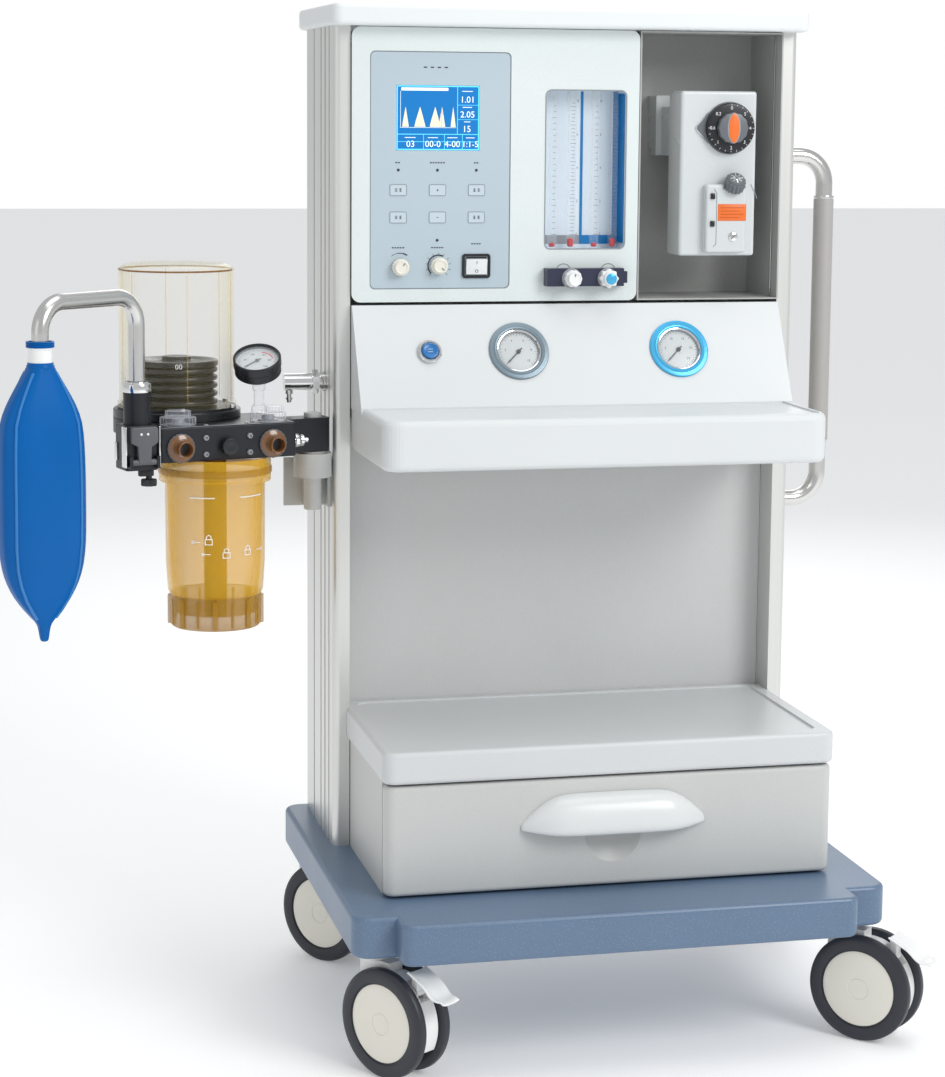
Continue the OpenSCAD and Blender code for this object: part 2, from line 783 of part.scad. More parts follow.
module manifold_block()
  color(near_black) on_arm()
    difference() {
      union() {
        soft_slab(block_lo, block_hi, 5, 2);
        soft_slab(module_lo, module_hi, 5, 2);
        box([module_hi.x - 3, -50, block_lo.z + 3], [block_lo.x + 3, -24, block_hi.z - 3]);
        translate([bellows_at.x, bellows_at.y, block_hi.z - 20]) cylinder(h = 20, r = 86);
        translate([bellows_at.x, bellows_at.y, block_hi.z]) cylinder(h = base_top - block_hi.z, r = 80);
        translate([bag_post.x, bag_post.y, module_hi.z - 2])
          cylinder(h = bag_post_top - module_hi.z + 2, r = 18);
        // Centre plug between the two hose ports
        translate([-149, block_lo.y + 1, port_z]) rotate([90, 0, 0]) cylinder(h = 11, r = 9.5);
        for (x = [module_lo.x + 2, module_hi.x - 6])
          box([x, lever_pin_y - 5, lever_pin_z - 8], [x + 4, block_lo.y + 1, lever_pin_z + 8]);
      }
      translate([bag_post.x, bag_post.y, bag_post_floor]) cylinder(h = 40, r = bag_tube_d / 2 + running);
      lever_axis(module_lo.x, module_hi.x, lever_pin_r + running);
      translate([lock_at.x, lock_at.y, module_lo.z - 1]) cylinder(h = 16, r = 4 + running);
      for (x = port_xs) {
        translate([x, block_lo.y - 1, port_z]) rotate([-90, 0, 0]) cylinder(h = 40, r = port_bore);
      }
    }

// Each cover: its place, and the shift and radius of its raised part
valve_covers = [[[-208, -34], 0, 17], [[-80, -34], 9, 13]];
cover_base_h = 12;
module valve_domes()
  color([0.85, 0.87, 0.92], 0.5) on_arm()
    for (cover = valve_covers)
      translate([cover[0].x, cover[0].y, block_hi.z]) difference() {
        union() {
          cylinder(h = cover_base_h, r = 24);
          translate([cover[1], 0, 0]) cylinder(h = 19, r = cover[2]);
        }
        translate([cover[1], 0, -1]) cylinder(h = 17, r = cover[2] - 3);
      }

module hose_ports()
  color([0.55, 0.36, 0.22]) on_arm()
    for (x = port_xs)
      translate([x, block_lo.y, port_z]) rotate([90, 0, 0])
        difference() {
          union() {
            cylinder(h = 4, r = 18);
            cylinder(h = 22, r = 11);
          }
          translate([0, 0, -1]) cylinder(h = 24, r = port_bore);
        }

// Airway pressure gauge on a clear stem, its dial leaning forward and a little to the left
gauge_stem = [-92, -32];
stem_top = 872;
module on_airway_gauge()
  on_arm() translate([gauge_stem.x, gauge_stem.y, stem_top])
    rotate([0, 0, -30]) rotate([30, 0, 0]) children();
airway_case_h = 34;
airway_r = 32;

module airway_gauge()
  color(near_black) {
    on_arm() translate([gauge_stem.x, gauge_stem.y, block_hi.z + cover_base_h])
      cylinder(h = stem_top - block_hi.z - cover_base_h, r = 7.5);
    on_airway_gauge()
      difference() {
        union() {
          sphere(r = 8);
          translate([0, 0, 4]) cylinder(h = 10, r1 = 12, r2 = airway_r - 3);
          translate([0, 0, 14]) cylinder(h = airway_case_h - 20, r = airway_r - 1);
          translate([0, 0, airway_case_h - 6]) cylinder(h = 12, r = airway_r);
        }
        translate([0, 0, airway_case_h - 2]) cylinder(h = 20, r = airway_r - 3);
        translate([0, 0, airway_case_h - 8]) cylinder(h = 20, r = 1.2 + running);
      }
  }

module airway_needle()
  color(near_black) on_airway_gauge() translate([0, 0, airway_case_h]) {
    translate([0, 0, -7]) cylinder(h = 7, r = 1.2);
    cylinder(h = 1.6, r = 2.6);
    rotate([0, 0, 225]) translate([-6, -0.6, 0]) cube([27, 1.2, 0.9]);
  }

module selector_lever()
  color(dark_grey) on_arm()
    union() {
      lever_axis(module_lo.x + 2, module_hi.x - 2, lever_pin_r);
      translate([0, block_lo.y - 1, 0]) rotate([90, 0, 0]) linear_extrude(9)
        polygon([[-276, 776], [-259, 776], [-258, 799], [-249, 803], [-249, 823], [-286, 823],
                 [-286, 803], [-277, 799]]);
    }

// ---- Bag arm and bag ----

bag_run = 179;
bag_heading = 208.7;
bag_arm_z = 991;
bag_bend = 38;
bag_top = 944;

// The bag arm's own frame: Z up its vertical leg, +X along its horizontal run
module on_bag_arm() on_arm() translate([bag_post.x, bag_post.y, 0]) rotate([0, 0, bag_heading]) children();

module bag_bend_piece(x, turn)
  translate([x, 0, bag_arm_z - bag_bend]) rotate([90, turn, 0])
    rotate_extrude(angle = 90) translate([bag_bend, 0]) circle(bag_tube_d / 2);

module bag_arm()
  color(steel) on_bag_arm() {
    translate([0, 0, bag_post_floor + gap])
      cylinder(h = bag_arm_z - bag_bend - bag_post_floor - gap, r = bag_tube_d / 2);
    translate([0, 0, bag_post_top + gap]) cylinder(h = 11, r = 18.5);
    bag_bend_piece(bag_bend, -90);
    translate([bag_bend, 0, bag_arm_z]) rotate([0, 90, 0])
      cylinder(h = bag_run - 2 * bag_bend, r = bag_tube_d / 2);
    bag_bend_piece(bag_run - bag_bend, 0);
    translate([bag_run, 0, 920]) cylinder(h = bag_arm_z - bag_bend - 920, r = bag_tube_d / 2);
  }

module breathing_bag()
  color(bag_blue) on_bag_arm() translate([bag_run, 0, 0])
    rotate_extrude()
      polygon([[0, 564], [5, 564], [8, 582], [26, 602], [bag_w / 2 - 8, 640], [bag_w / 2, 676],
               [bag_w / 2, 826], [bag_w / 2 - 9, 858], [26, 890], [16, 908], [15, 936], [18, 937],
               [18, bag_top], [bag_tube_d / 2, bag_top], [bag_tube_d / 2, 919], [0, 919]]);

// ---- Bellows and canister ----

dome_top = 1026;
module bellows_dome()
  color([0.95, 0.93, 0.85], 0.35) on_arm() translate([bellows_at.x, bellows_at.y, base_top])
    rotate_extrude() {
      r = dome_d / 2;
      h = dome_top - base_top;
      difference() {
        union() {
          square([r, h - 12]);
          square([r - 12, h]);
          translate([r - 12, h - 12]) circle(12);
          square([r + 3, 7]);
        }
        translate([0, -1]) square([r - 2.5, h - 12]);
        translate([0, -1]) square([r - 12, h - 1.5]);
        translate([r - 12, h - 12]) circle(9.5);
      }
    }

bellows_r = 55;
bellows_h = 54;
folds = 5;
module bellows()
  color(near_black) on_arm() translate([bellows_at.x, bellows_at.y, base_top + gap])
    rotate_extrude()
      polygon(concat([[0, 0]],
        [for (i = [0:2 * folds]) [i % 2 == 0 ? bellows_r - 7 : bellows_r, i * bellows_h / (2 * folds)]],
        [[0, bellows_h]]));

module bellows_cap()
  color(dark_grey) on_arm() translate([bellows_at.x, bellows_at.y, base_top + bellows_h + 2 * gap]) {
    cylinder(h = 8, r = bellows_r + 1);
    cylinder(h = 12, r = 20);
  }

canister_top = block_lo.z - gap;
canister_foot = 543;
module canister()
  color(amber, 0.6) on_arm() translate([canister_at.x, canister_at.y, 0]) {
    r = canister_d / 2;
    rotate_extrude()
      difference() {
        polygon([[0, canister_foot], [r - 6, canister_foot], [r - 5, 588], [r - 3, 592], [r, 738],
                 [r + 8, 740], [r + 8, canister_top], [0, canister_top]]);
        polygon([[15.5, 562], [r - 8, 562], [r - 6, 594], [r - 3, 742], [r + 4, 744],
                 [r + 4, canister_top + 1], [15.5, canister_top + 1]]);
        polygon([[-1, 556], [12.5, 556], [12.5, canister_top + 1], [-1, canister_top + 1]]);
        polygon([[12, 744], [16, 744], [16, canister_top + 1], [12, canister_top + 1]]);
      }
    for (i = [0:7]) rotate([0, 0, 22.5 + i * 45])
      box([r - 8, -4, canister_foot + 2], [r - 2, 4, 588]);
  }

module lock_knob()
  color(near_black) on_arm() translate([lock_at.x, lock_at.y, 0]) {
    translate([0, 0, 750]) cylinder(h = 28, r = 4);
    translate([0, 0, 742]) cylinder(h = 10, r = 10);
    box([-14, -4, 755], [6, 4, module_lo.z - gap]);
  }

base_tray();
columns();
top_cover();
rear_panel();
lower_panel();
front_panel();
display_bezel();
lcd_screen();
keypad();
flow_window();
flow_tubes();
flow_manifold();
vaporizer_bay();
vaporizer_body();
console();
supply_gauges();
worktop();
drawer_case();
side_handle();
arm_bracket();
gas_outlet();
control_box();
volume_knob();
trigger_knob();
power_rocker();
n2o_floats();
o2_floats();
n2o_knob();
o2_knob();
vaporizer_dial();
filler_cap();
n2o_needle();
o2_needle();
flush_button();
drawer_tray();
drawer_handle();
fork_fl();
fork_fr();
fork_rl();
fork_rr();
wheel_fl();
wheel_fr();
wheel_rl();
wheel_rr();
brake_fl();
brake_fr();
swing_arm();
manifold_block();
valve_domes();
hose_ports();
airway_gauge();
airway_needle();
selector_lever();
bag_arm();
breathing_bag();
bellows_dome();
bellows();
bellows_cap();
canister();
lock_knob();
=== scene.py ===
from math import atan2, cos, pi, radians, sin

import bpy
from mathutils import Matrix, Vector


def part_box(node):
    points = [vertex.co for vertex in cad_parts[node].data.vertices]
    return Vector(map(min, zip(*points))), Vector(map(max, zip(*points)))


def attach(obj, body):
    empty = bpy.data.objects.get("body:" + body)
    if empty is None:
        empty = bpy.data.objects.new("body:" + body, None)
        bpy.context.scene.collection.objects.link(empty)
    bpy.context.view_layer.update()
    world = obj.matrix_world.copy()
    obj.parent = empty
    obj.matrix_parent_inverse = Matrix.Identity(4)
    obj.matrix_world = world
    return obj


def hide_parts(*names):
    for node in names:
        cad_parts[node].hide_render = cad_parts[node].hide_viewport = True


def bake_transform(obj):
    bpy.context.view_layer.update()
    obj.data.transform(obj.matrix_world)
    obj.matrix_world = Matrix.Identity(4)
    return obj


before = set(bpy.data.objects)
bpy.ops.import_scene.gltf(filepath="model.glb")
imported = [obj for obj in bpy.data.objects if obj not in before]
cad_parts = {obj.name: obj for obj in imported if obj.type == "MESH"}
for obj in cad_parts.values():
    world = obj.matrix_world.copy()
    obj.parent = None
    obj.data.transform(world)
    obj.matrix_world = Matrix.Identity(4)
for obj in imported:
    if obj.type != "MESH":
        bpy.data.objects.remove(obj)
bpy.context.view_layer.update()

MM = 0.001
ops, mesh_ops = bpy.ops.object, bpy.ops.mesh


# ---- Camera, light and floor ----

CAMERA_AT = Vector((-0.76582, -3.376, 1.22675))
YAW, PITCH, ROLL = radians(13.28), radians(7.73), radians(0.46)

forward = Vector((sin(YAW) * cos(PITCH), cos(YAW) * cos(PITCH), -sin(PITCH)))
level = Vector((cos(YAW), -sin(YAW), 0))
upward = level.cross(forward)
side_axis = cos(ROLL) * level + sin(ROLL) * upward
up_axis = -sin(ROLL) * level + cos(ROLL) * upward

lens = bpy.data.cameras.new("camera")
lens.lens, lens.sensor_width = 86.28, 36
lens.shift_y = -0.068
camera = bpy.data.objects.new("camera", lens)
camera.matrix_world = Matrix.Translation(CAMERA_AT) @ Matrix(
    (side_axis, up_axis, -forward)).transposed().to_4x4()
bpy.context.collection.objects.link(camera)
bpy.context.scene.camera = camera


def area_light(name, place, target, size, power):
    light = bpy.data.lights.new(name, "AREA")
    light.shape, light.size, light.energy = "SQUARE", size, power
    o = bpy.data.objects.new(name, light)
    o.location = place
    o.rotation_euler = (Vector(target) - Vector(place)).to_track_quat("-Z", "Y").to_euler()
    bpy.context.collection.objects.link(o)


area_light("key_light", (2.2, -3.1, 3.0), (0, 0, 0.8), 1.8, 82)
area_light("fill_light", (-3.2, -2.2, 1.8), (0, 0, 0.7), 2.2, 6)
area_light("top_light", (0.3, -0.3, 3.6), (0, 0, 0.5), 2.0, 22)
area_light("back_light", (1.2, 3.4, 2.4), (0, 0, 0.8), 2.4, 24)

world = bpy.data.worlds.new("studio")
bpy.context.scene.world = world
world.use_nodes = True
studio = world.node_tree
glow = studio.nodes["Background"]
glow.inputs["Color"].default_value = (0.97, 0.985, 1.0, 1)
glow.inputs["Strength"].default_value = 0.62
backdrop = studio.nodes.new("ShaderNodeBackground")  # plain white, for the camera alone
backdrop.inputs["Color"].default_value = (1, 1, 1, 1)
either = studio.nodes.new("ShaderNodeMixShader")
seen = studio.nodes.new("ShaderNodeLightPath")
studio.links.new(seen.outputs["Is Camera Ray"], either.inputs["Fac"])
studio.links.new(glow.outputs[0], either.inputs[1])
studio.links.new(backdrop.outputs[0], either.inputs[2])
studio.links.new(either.outputs[0], studio.nodes["World Output"].inputs["Surface"])
bpy.context.scene.view_settings.view_transform = "Standard"


# ---- Materials ----

LOOKS = {}


def shader(name, colour, rough, metal=0.0, **sockets):
    """A Principled material, its node tree and its shader node"""
    m = bpy.data.materials.new(name)
    m.use_nodes = True
    s = m.node_tree.nodes["Principled BSDF"]
    s.inputs["Base Color"].default_value = (*colour, 1)
    s.inputs["Roughness"].default_value = rough
    s.inputs["Metallic"].default_value = metal
    for key, value in sockets.items():
        s.inputs[key.replace("_", " ")].default_value = value
    LOOKS[name] = m
    return m, m.node_tree, s


def noise(tree, coords, scale, detail=3.0):
    n = tree.nodes.new("ShaderNodeTexNoise")
    n.inputs["Scale"].default_value = scale
    n.inputs["Detail"].default_value = detail
    tree.links.new(coords, n.inputs["Vector"])
    return n.outputs["Fac"]


def spread(tree, value, low, high, a=0.1, b=0.9):
    n = tree.nodes.new("ShaderNodeMapRange")
    for key, v in zip(("From Min", "From Max", "To Min", "To Max"), (a, b, low, high)):
        n.inputs[key].default_value = v
    tree.links.new(value, n.inputs["Value"])
    return n.outputs["Result"]


def blend_colours(tree, value, a, b):
    n = tree.nodes.new("ShaderNodeMix")
    n.data_type = "RGBA"
    n.inputs["A"].default_value, n.inputs["B"].default_value = (*a, 1), (*b, 1)
    tree.links.new(value, n.inputs["Factor"])
    return n.outputs["Result"]


def finish_of(name, colour, rough=0.4, metal=0.0, grain=900, depth=0.1, vary=0.04,
              patch=7, stretch=(1, 1, 1), fleck=0.0, height=0.0003, **sockets):
    """Paint, plastic, rubber or metal: fine grain in the bump, broad change in colour and gloss"""
    m, tree, s = shader(name, colour, rough, metal, **sockets)
    coords = tree.nodes.new("ShaderNodeTexCoord").outputs["Object"]
    mapping = tree.nodes.new("ShaderNodeMapping")
    mapping.inputs["Scale"].default_value = stretch
    tree.links.new(coords, mapping.inputs["Vector"])
    coords = mapping.outputs["Vector"]
    broad, fine = noise(tree, coords, patch, 4), noise(tree, coords, grain, 2)
    dark = tuple(c * (1 - vary) for c in colour)
    pale = tuple(min(1, c * (1 + vary)) for c in colour)
    tint = blend_colours(tree, spread(tree, broad, 0, 1), dark, pale)
    if fleck:
        cells = tree.nodes.new("ShaderNodeTexVoronoi")
        cells.inputs["Scale"].default_value = grain * 0.6
        tree.links.new(coords, cells.inputs["Vector"])
        spots = spread(tree, cells.outputs["Distance"], 1, 0, 0.05, 0.3)
        mix = tree.nodes.new("ShaderNodeMix")
        mix.data_type = "RGBA"
        mix.inputs["B"].default_value = (*(min(1, c + fleck) for c in colour), 1)
        tree.links.new(tint, mix.inputs["A"])
        tree.links.new(spread(tree, spots, 0, 0.7, 0, 1), mix.inputs["Factor"])
        tint = mix.outputs["Result"]
    tree.links.new(tint, s.inputs["Base Color"])
    tree.links.new(spread(tree, broad, rough * 0.85, min(1, rough * 1.15)), s.inputs["Roughness"])
    bump = tree.nodes.new("ShaderNodeBump")
    bump.inputs["Strength"].default_value = depth
    bump.inputs["Distance"].default_value = height
    tree.links.new(fine, bump.inputs["Height"])
    tree.links.new(bump.outputs["Normal"], s.inputs["Normal"])
    return m


# Name, colour, roughness, grain, depth of the grain, change in colour, what else differs
for name, colour, rough, grain, depth, vary, *more in (
    ("panel_paint", (0.70, 0.76, 0.75), 0.40, 760, 0.6, 0.03, dict(fleck=0.13)),
    ("warm_paint", (0.56, 0.57, 0.555), 0.40, 760, 0.6, 0.03, dict(fleck=0.13)),
    ("lower_paint", (0.60, 0.61, 0.605), 0.40, 760, 0.6, 0.03, dict(fleck=0.13)),
    ("console_paint", (0.68, 0.705, 0.71), 0.34, 800, 0.15, 0.02, dict(fleck=0.04)),
    ("worktop_paint", (0.62, 0.64, 0.645), 0.34, 760, 0.15, 0.03, dict(fleck=0.09)),
    ("base_paint", (0.115, 0.18, 0.28), 0.32, 640, 0.2, 0.06, dict(fleck=0.14)),
    ("dark_paint", (0.42, 0.425, 0.415), 0.5, 640, 0.6, 0.10, dict(fleck=0.16)),
    ("white_plastic", (0.76, 0.79, 0.795), 0.30, 1800, 0.05, 0.015),
    ("white_enamel", (0.62, 0.65, 0.655), 0.26, 1200, 0.1, 0.02),
    ("gloss_white", (0.86, 0.87, 0.86), 0.16, 500, 0.04, 0.02),
    ("cream", (0.80, 0.775, 0.69), 0.33, 1100, 0.12, 0.03),
    ("film", (0.46, 0.55, 0.61), 0.36, 2200, 0.2, 0.02),
    ("film_key", (0.53, 0.62, 0.68), 0.34, 2200, 0.2, 0.02),
    ("tyre", (0.022, 0.024, 0.034), 0.40, 800, 0.25, 0.2, dict(patch=22)),
    ("black", (0.012, 0.013, 0.016), 0.28, 1400, 0.12, 0.2),
    ("black_matt", (0.02, 0.021, 0.024), 0.6, 1200, 0.3, 0.2),
    ("navy", (0.022, 0.026, 0.060), 0.34, 1400, 0.15, 0.12),
    ("pull_white", (0.70, 0.72, 0.72), 0.22, 640, 0.35, 0.02, dict(fleck=0.06)),
    ("anodised", (0.018, 0.019, 0.024), 0.36, 1600, 0.2, 0.15, dict(metal=0.35)),
    ("ink", (0.02, 0.025, 0.04), 0.5, 2500, 0.05, 0.1),
    ("grey_ink", (0.20, 0.23, 0.27), 0.5, 2500, 0.05, 0.04),
    ("blue_ink", (0.0, 0.19, 0.50), 0.4, 2500, 0.05, 0.04),
    ("red_ink", (0.65, 0.02, 0.03), 0.3, 2000, 0.05, 0.04),
    ("white_ink", (0.85, 0.86, 0.88), 0.4, 2500, 0.05, 0.04),
    ("grey_plastic", (0.10, 0.105, 0.115), 0.4, 1300, 0.25, 0.08),
    ("mid_grey", (0.30, 0.32, 0.35), 0.34, 1300, 0.2, 0.04),
    ("dial_grey", (0.20, 0.265, 0.31), 0.32, 1200, 0.15, 0.04, dict(metal=0.35)),
    ("dial_blue", (0.06, 0.42, 0.72), 0.25, 1200, 0.1, 0.04, dict(metal=0.25)),
    ("blue_plastic", (0.015, 0.16, 0.44), 0.25, 900, 0.06, 0.04),
    ("dark_orange", (0.42, 0.07, 0.01), 0.4, 1500, 0.1, 0.04),
    ("grip_grey", (0.13, 0.145, 0.16), 0.3, 1300, 0.2, 0.04),
    ("orange", (0.80, 0.16, 0.02), 0.35, 1500, 0.1, 0.04),
    ("aluminium", (0.72, 0.725, 0.705), 0.34, 260, 0.12, 0.05,
     dict(metal=0.75, stretch=(6, 6, 0.12))),
    ("steel", (0.66, 0.655, 0.64), 0.22, 420, 0.05, 0.05, dict(metal=1.0, stretch=(1, 1, 0.3))),
    ("chrome", (0.74, 0.74, 0.74), 0.09, 700, 0.02, 0.04, dict(metal=1.0)),
    ("brown", (0.20, 0.085, 0.028), 0.2, 700, 0.08, 0.15, dict(Coat_Weight=0.5)),
    ("bag_rubber", (0.0, 0.11, 0.39), 0.30, 420, 0.18, 0.08,
     dict(patch=14, Specular_IOR_Level=0.16)),
    # Lighter blue than the bag rubber: a painted highlight along the bag's seam ridges
    ("bag_seam", (0.02, 0.19, 0.52), 0.3, 420, 0.18, 0.08, dict(patch=14)),
    ("bellows_rubber", (0.014, 0.014, 0.016), 0.32, 700, 0.2, 0.3),
    ("board", (0.72, 0.80, 0.86), 0.4, 2000, 0.08, 0.02),
    ("floor_paint", (0.90, 0.90, 0.90), 0.7, 300, 0.05, 0.01,
     dict(patch=1.2, Emission_Color=(1, 1, 1, 1), Emission_Strength=0.2)),
):
    finish_of(name, colour, rough=rough, grain=grain, depth=depth, vary=vary,
              **(more[0] if more else {}))


def sleeved(name, low, high):
    """Bright tube with a satin sleeve between two heights, in metres"""
    m = finish_of(name, (0.66, 0.655, 0.64), rough=0.2, metal=1.0, grain=420, depth=0.06)
    tree = m.node_tree
    s = tree.nodes["Principled BSDF"]
    place = tree.nodes.new("ShaderNodeSeparateXYZ")
    coords = tree.nodes.new("ShaderNodeTexCoord")
    tree.links.new(coords.outputs["Object"], place.inputs["Vector"])
    part = tree.nodes.new("ShaderNodeMath")
    part.operation = "MULTIPLY"
    tree.links.new(spread(tree, place.outputs["Z"], 0, 1, low, low + 0.0005), part.inputs[0])
    tree.links.new(spread(tree, place.outputs["Z"], 1, 0, high - 0.0005, high), part.inputs[1])
    fine = noise(tree, coords.outputs["Object"], 700, 2)
    tree.links.new(blend_colours(tree, part.outputs[0], (0.66, 0.655, 0.64), (0.42, 0.405, 0.39)),
                   s.inputs["Base Color"])
    tree.links.new(spread(tree, part.outputs[0], 1.0, 0.2, 0, 1), s.inputs["Metallic"])
    mixed = tree.nodes.new("ShaderNodeMath")
    mixed.operation = "MULTIPLY_ADD"
    tree.links.new(part.outputs[0], mixed.inputs[0])
    tree.links.new(spread(tree, fine, 0.2, 0.34), mixed.inputs[1])
    mixed.inputs[2].default_value = 0.18
    tree.links.new(mixed.outputs[0], s.inputs["Roughness"])
    return m


sleeved("handle_tube", 0.76, 1.11)


def clear(name, colour, face, edge, rough=0.05, grain=500):
    """A clear or tinted moulding: nearly open where it faces the eye, denser towards its rim"""
    m = finish_of(name, colour, rough=rough, grain=grain, depth=0.03, vary=0.05)
    tree = m.node_tree
    facing = tree.nodes.new("ShaderNodeLayerWeight")
    facing.inputs["Blend"].default_value = 0.35
    tree.links.new(spread(tree, facing.outputs["Facing"], face, edge, 0.15, 1.0),
                   tree.nodes["Principled BSDF"].inputs["Alpha"])
    return m


# Name, colour, cover where it faces the eye, cover at its rim, roughness
for look in (
    ("clear_glass", (0.86, 0.90, 0.93), 0.05, 0.45),
    ("clear_tube", (0.80, 0.86, 0.92), 0.04, 0.32),
    ("clear_cover", (0.80, 0.83, 0.90), 0.10, 0.7),
    ("clear_dome", (0.86, 0.78, 0.48), 0.03, 0.36, 0.04),
    ("amber_clear", (0.92, 0.53, 0.005), 0.32, 0.80, 0.10),
    ("amber_deep", (0.25, 0.10, 0.004), 0.85, 0.97, 0.2),
    ("amber_foot", (0.50, 0.26, 0.008), 0.5, 0.9, 0.18),
):
    clear(*look)


def glowing(name, colour, light):
    m = finish_of(name, colour, rough=0.2, grain=1800, depth=0.05, vary=0.05)
    s = m.node_tree.nodes["Principled BSDF"]
    s.inputs["Emission Color"].default_value = (*colour, 1)
    s.inputs["Emission Strength"].default_value = light
    return m


# Name, colour, strength of its own light
for look in (
    ("screen_blue", (0.0, 0.15, 0.44), 0.38),
    ("screen_cyan", (0.12, 0.62, 0.86), 0.7),
    ("screen_pale", (0.78, 0.85, 0.84), 0.5),
    ("screen_cream", (0.74, 0.70, 0.52), 0.4),
    ("screen_pink", (0.75, 0.35, 0.55), 0.4),
):
    glowing(*look)


# ---- Places ----

columns_lo, columns_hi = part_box("columns")
CABINET = Vector(((columns_lo.x + columns_hi.x) / 2, columns_lo.y, 0))
FACE_FRONT = Matrix.Rotation(pi / 2, 4, "X")


def at(x, y, z):
    """A place in the cabinet's own frame: millimetres from the middle of its front edge"""
    return Matrix.Translation(CABINET + Vector((x, y, z)) * MM)


def turn(degrees, axis="Z"):
    return Matrix.Rotation(radians(degrees), 4, axis)


def move(x=0, y=0, z=0):
    return Matrix.Translation(Vector((x, y, z)) * MM)


def on_front(x, z, y):
    """Local Z comes out of the front, local Y goes up"""
    return at(x, y, z) @ FACE_FRONT


SHELF_TOP, PANEL_FOOT = 836, 973
SLOPE = atan2(69, PANEL_FOOT - 4 - SHELF_TOP)


def on_slope(x, z=907):
    """Local Z comes out of the sloped gauge panel, local Y goes up it"""
    return at(x, -77 + (z - SHELF_TOP) * (69 / (PANEL_FOOT - 4 - SHELF_TOP)), z) @ \
        Matrix.Rotation(pi / 2 - SLOPE, 4, "X")


ARM = at(-357, 5, 0) @ turn(14)
BAG_ARM = ARM @ move(-267, -41) @ turn(208.7)


# ---- Modelling ----

def deselect():
    ops.select_all(action="DESELECT")


def take(o):
    """Makes an object the only one selected, and the active one"""
    deselect()
    o.select_set(True)
    bpy.context.view_layer.objects.active = o


def edit(o, mode="VERT"):
    take(o)
    ops.mode_set(mode="EDIT")
    mesh_ops.select_mode(type=mode)


def edit_all(o, mode="VERT"):
    edit(o, mode)
    mesh_ops.select_all(action="SELECT")


def choose(o, test, kind="polygons"):
    """In edit mode, selects only the faces, edges or vertices that pass the test"""
    ops.mode_set(mode="OBJECT")
    for group in (o.data.vertices, o.data.edges, o.data.polygons):
        group.foreach_set("select", [False] * len(group))
    for item in getattr(o.data, kind):
        item.select = bool(test(item))
    ops.mode_set(mode="EDIT")


def close_edit(o, tidy=True):
    if tidy:
        mesh_ops.select_all(action="SELECT")
        mesh_ops.remove_doubles(threshold=1e-6)
        mesh_ops.normals_make_consistent(inside=False)
    ops.mode_set(mode="OBJECT")
    return o


def start_point(x, y, z):
    """A plane drawn together into one vertex, ready to be led along a line"""
    deselect()
    mesh_ops.primitive_plane_add(size=0.01, location=(0, 0, 0))
    o = bpy.context.object
    edit_all(o)
    mesh_ops.merge(type="CENTER")
    bpy.ops.transform.translate(value=Vector((x, y, z)) * MM)
    return o


def lead(points):
    """A chain of edges through points given in millimetres"""
    o = start_point(*points[0])
    for a, b in zip(points, points[1:]):
        mesh_ops.extrude_region_move(
            TRANSFORM_OT_translate={"value": (Vector(b) - Vector(a)) * MM})
    return o


def turned(profile, steps=64, angle=360):
    """A (radius, height) profile in millimetres, spun round Z"""
    o = lead([(r, 0, z) for r, z in profile])
    mesh_ops.select_all(action="SELECT")
    mesh_ops.spin(steps=steps, angle=radians(angle), center=(0, 0, 0), axis=(0, 0, 1))
    return close_edit(o)


def plate(outline, thick, edge=0.0, segments=2):
    """A flat outline in millimetres, filled, extruded along Z and its rims rounded"""
    o = lead([(p[0], p[1], 0) for p in outline])
    mesh_ops.select_all(action="SELECT")
    mesh_ops.edge_face_add()
    mesh_ops.extrude_region_move(TRANSFORM_OT_translate={"value": (0, 0, thick * MM)})
    close_edit(o)
    if edge:
        edit(o, "EDGE")
        choose(o, lambda e: abs(o.data.vertices[e.vertices[0]].co.z
                                - o.data.vertices[e.vertices[1]].co.z) < 1e-7, "edges")
        mesh_ops.bevel(offset=edge * MM, segments=segments)
        close_edit(o)
    return o


def slab(lo, hi, edge, segments=3):
    """A cube drawn between two corners, its edges bevelled"""
    deselect()
    mesh_ops.primitive_cube_add(size=1, location=[(a + b) / 2 * MM for a, b in zip(lo, hi)],
                                scale=[(b - a) * MM for a, b in zip(lo, hi)])
    o = bpy.context.object
    ops.transform_apply(location=True, rotation=True, scale=True)
    edit_all(o, "EDGE")
    mesh_ops.bevel(offset=edge * MM, segments=segments)
    return close_edit(o)


def polar(radius, degrees, z=0.0, about=(0, 0)):
    """A point at an angle round a centre"""
    a = radians(degrees)
    return about[0] + radius * cos(a), about[1] + radius * sin(a), z


def arc(radius, first, last, step, z=0.0, about=(0, 0)):
    """Points along an arc, in whole degrees"""
    return [polar(radius, a, z, about) for a in range(first, last + (1 if step > 0 else -1), step)]


def circle(radius, count, z=0.0, about=(0, 0)):
    return [polar(radius, 360 * i / count, z, about) for i in range(count)]


def scalloped(radius, dip, lobes, thick, edge, steps=6):
    """A knob with hollows round its rim"""
    total = lobes * steps
    return plate([polar(radius - dip * (0.5 - 0.5 * cos(2 * pi * i / steps)), 360 * i / total)
                  for i in range(total)], thick, edge)


def wire(points, radius=0.25, closed=False):
    """A printed or moulded line: a round wire through points in millimetres"""
    curve = bpy.data.curves.new("line", "CURVE")
    curve.dimensions = "3D"
    curve.bevel_depth, curve.bevel_resolution = radius * MM, 1
    curve.use_fill_caps = True
    spline = curve.splines.new("POLY")
    spline.points.add(len(points) - 1)
    spline.use_cyclic_u = closed
    for p, co in zip(spline.points, points):
        co = tuple(co) + (0,) * (3 - len(co))
        p.co = (*(c * MM for c in co), 1)
    o = bpy.data.objects.new("line", curve)
    bpy.context.collection.objects.link(o)
    return to_mesh(o)


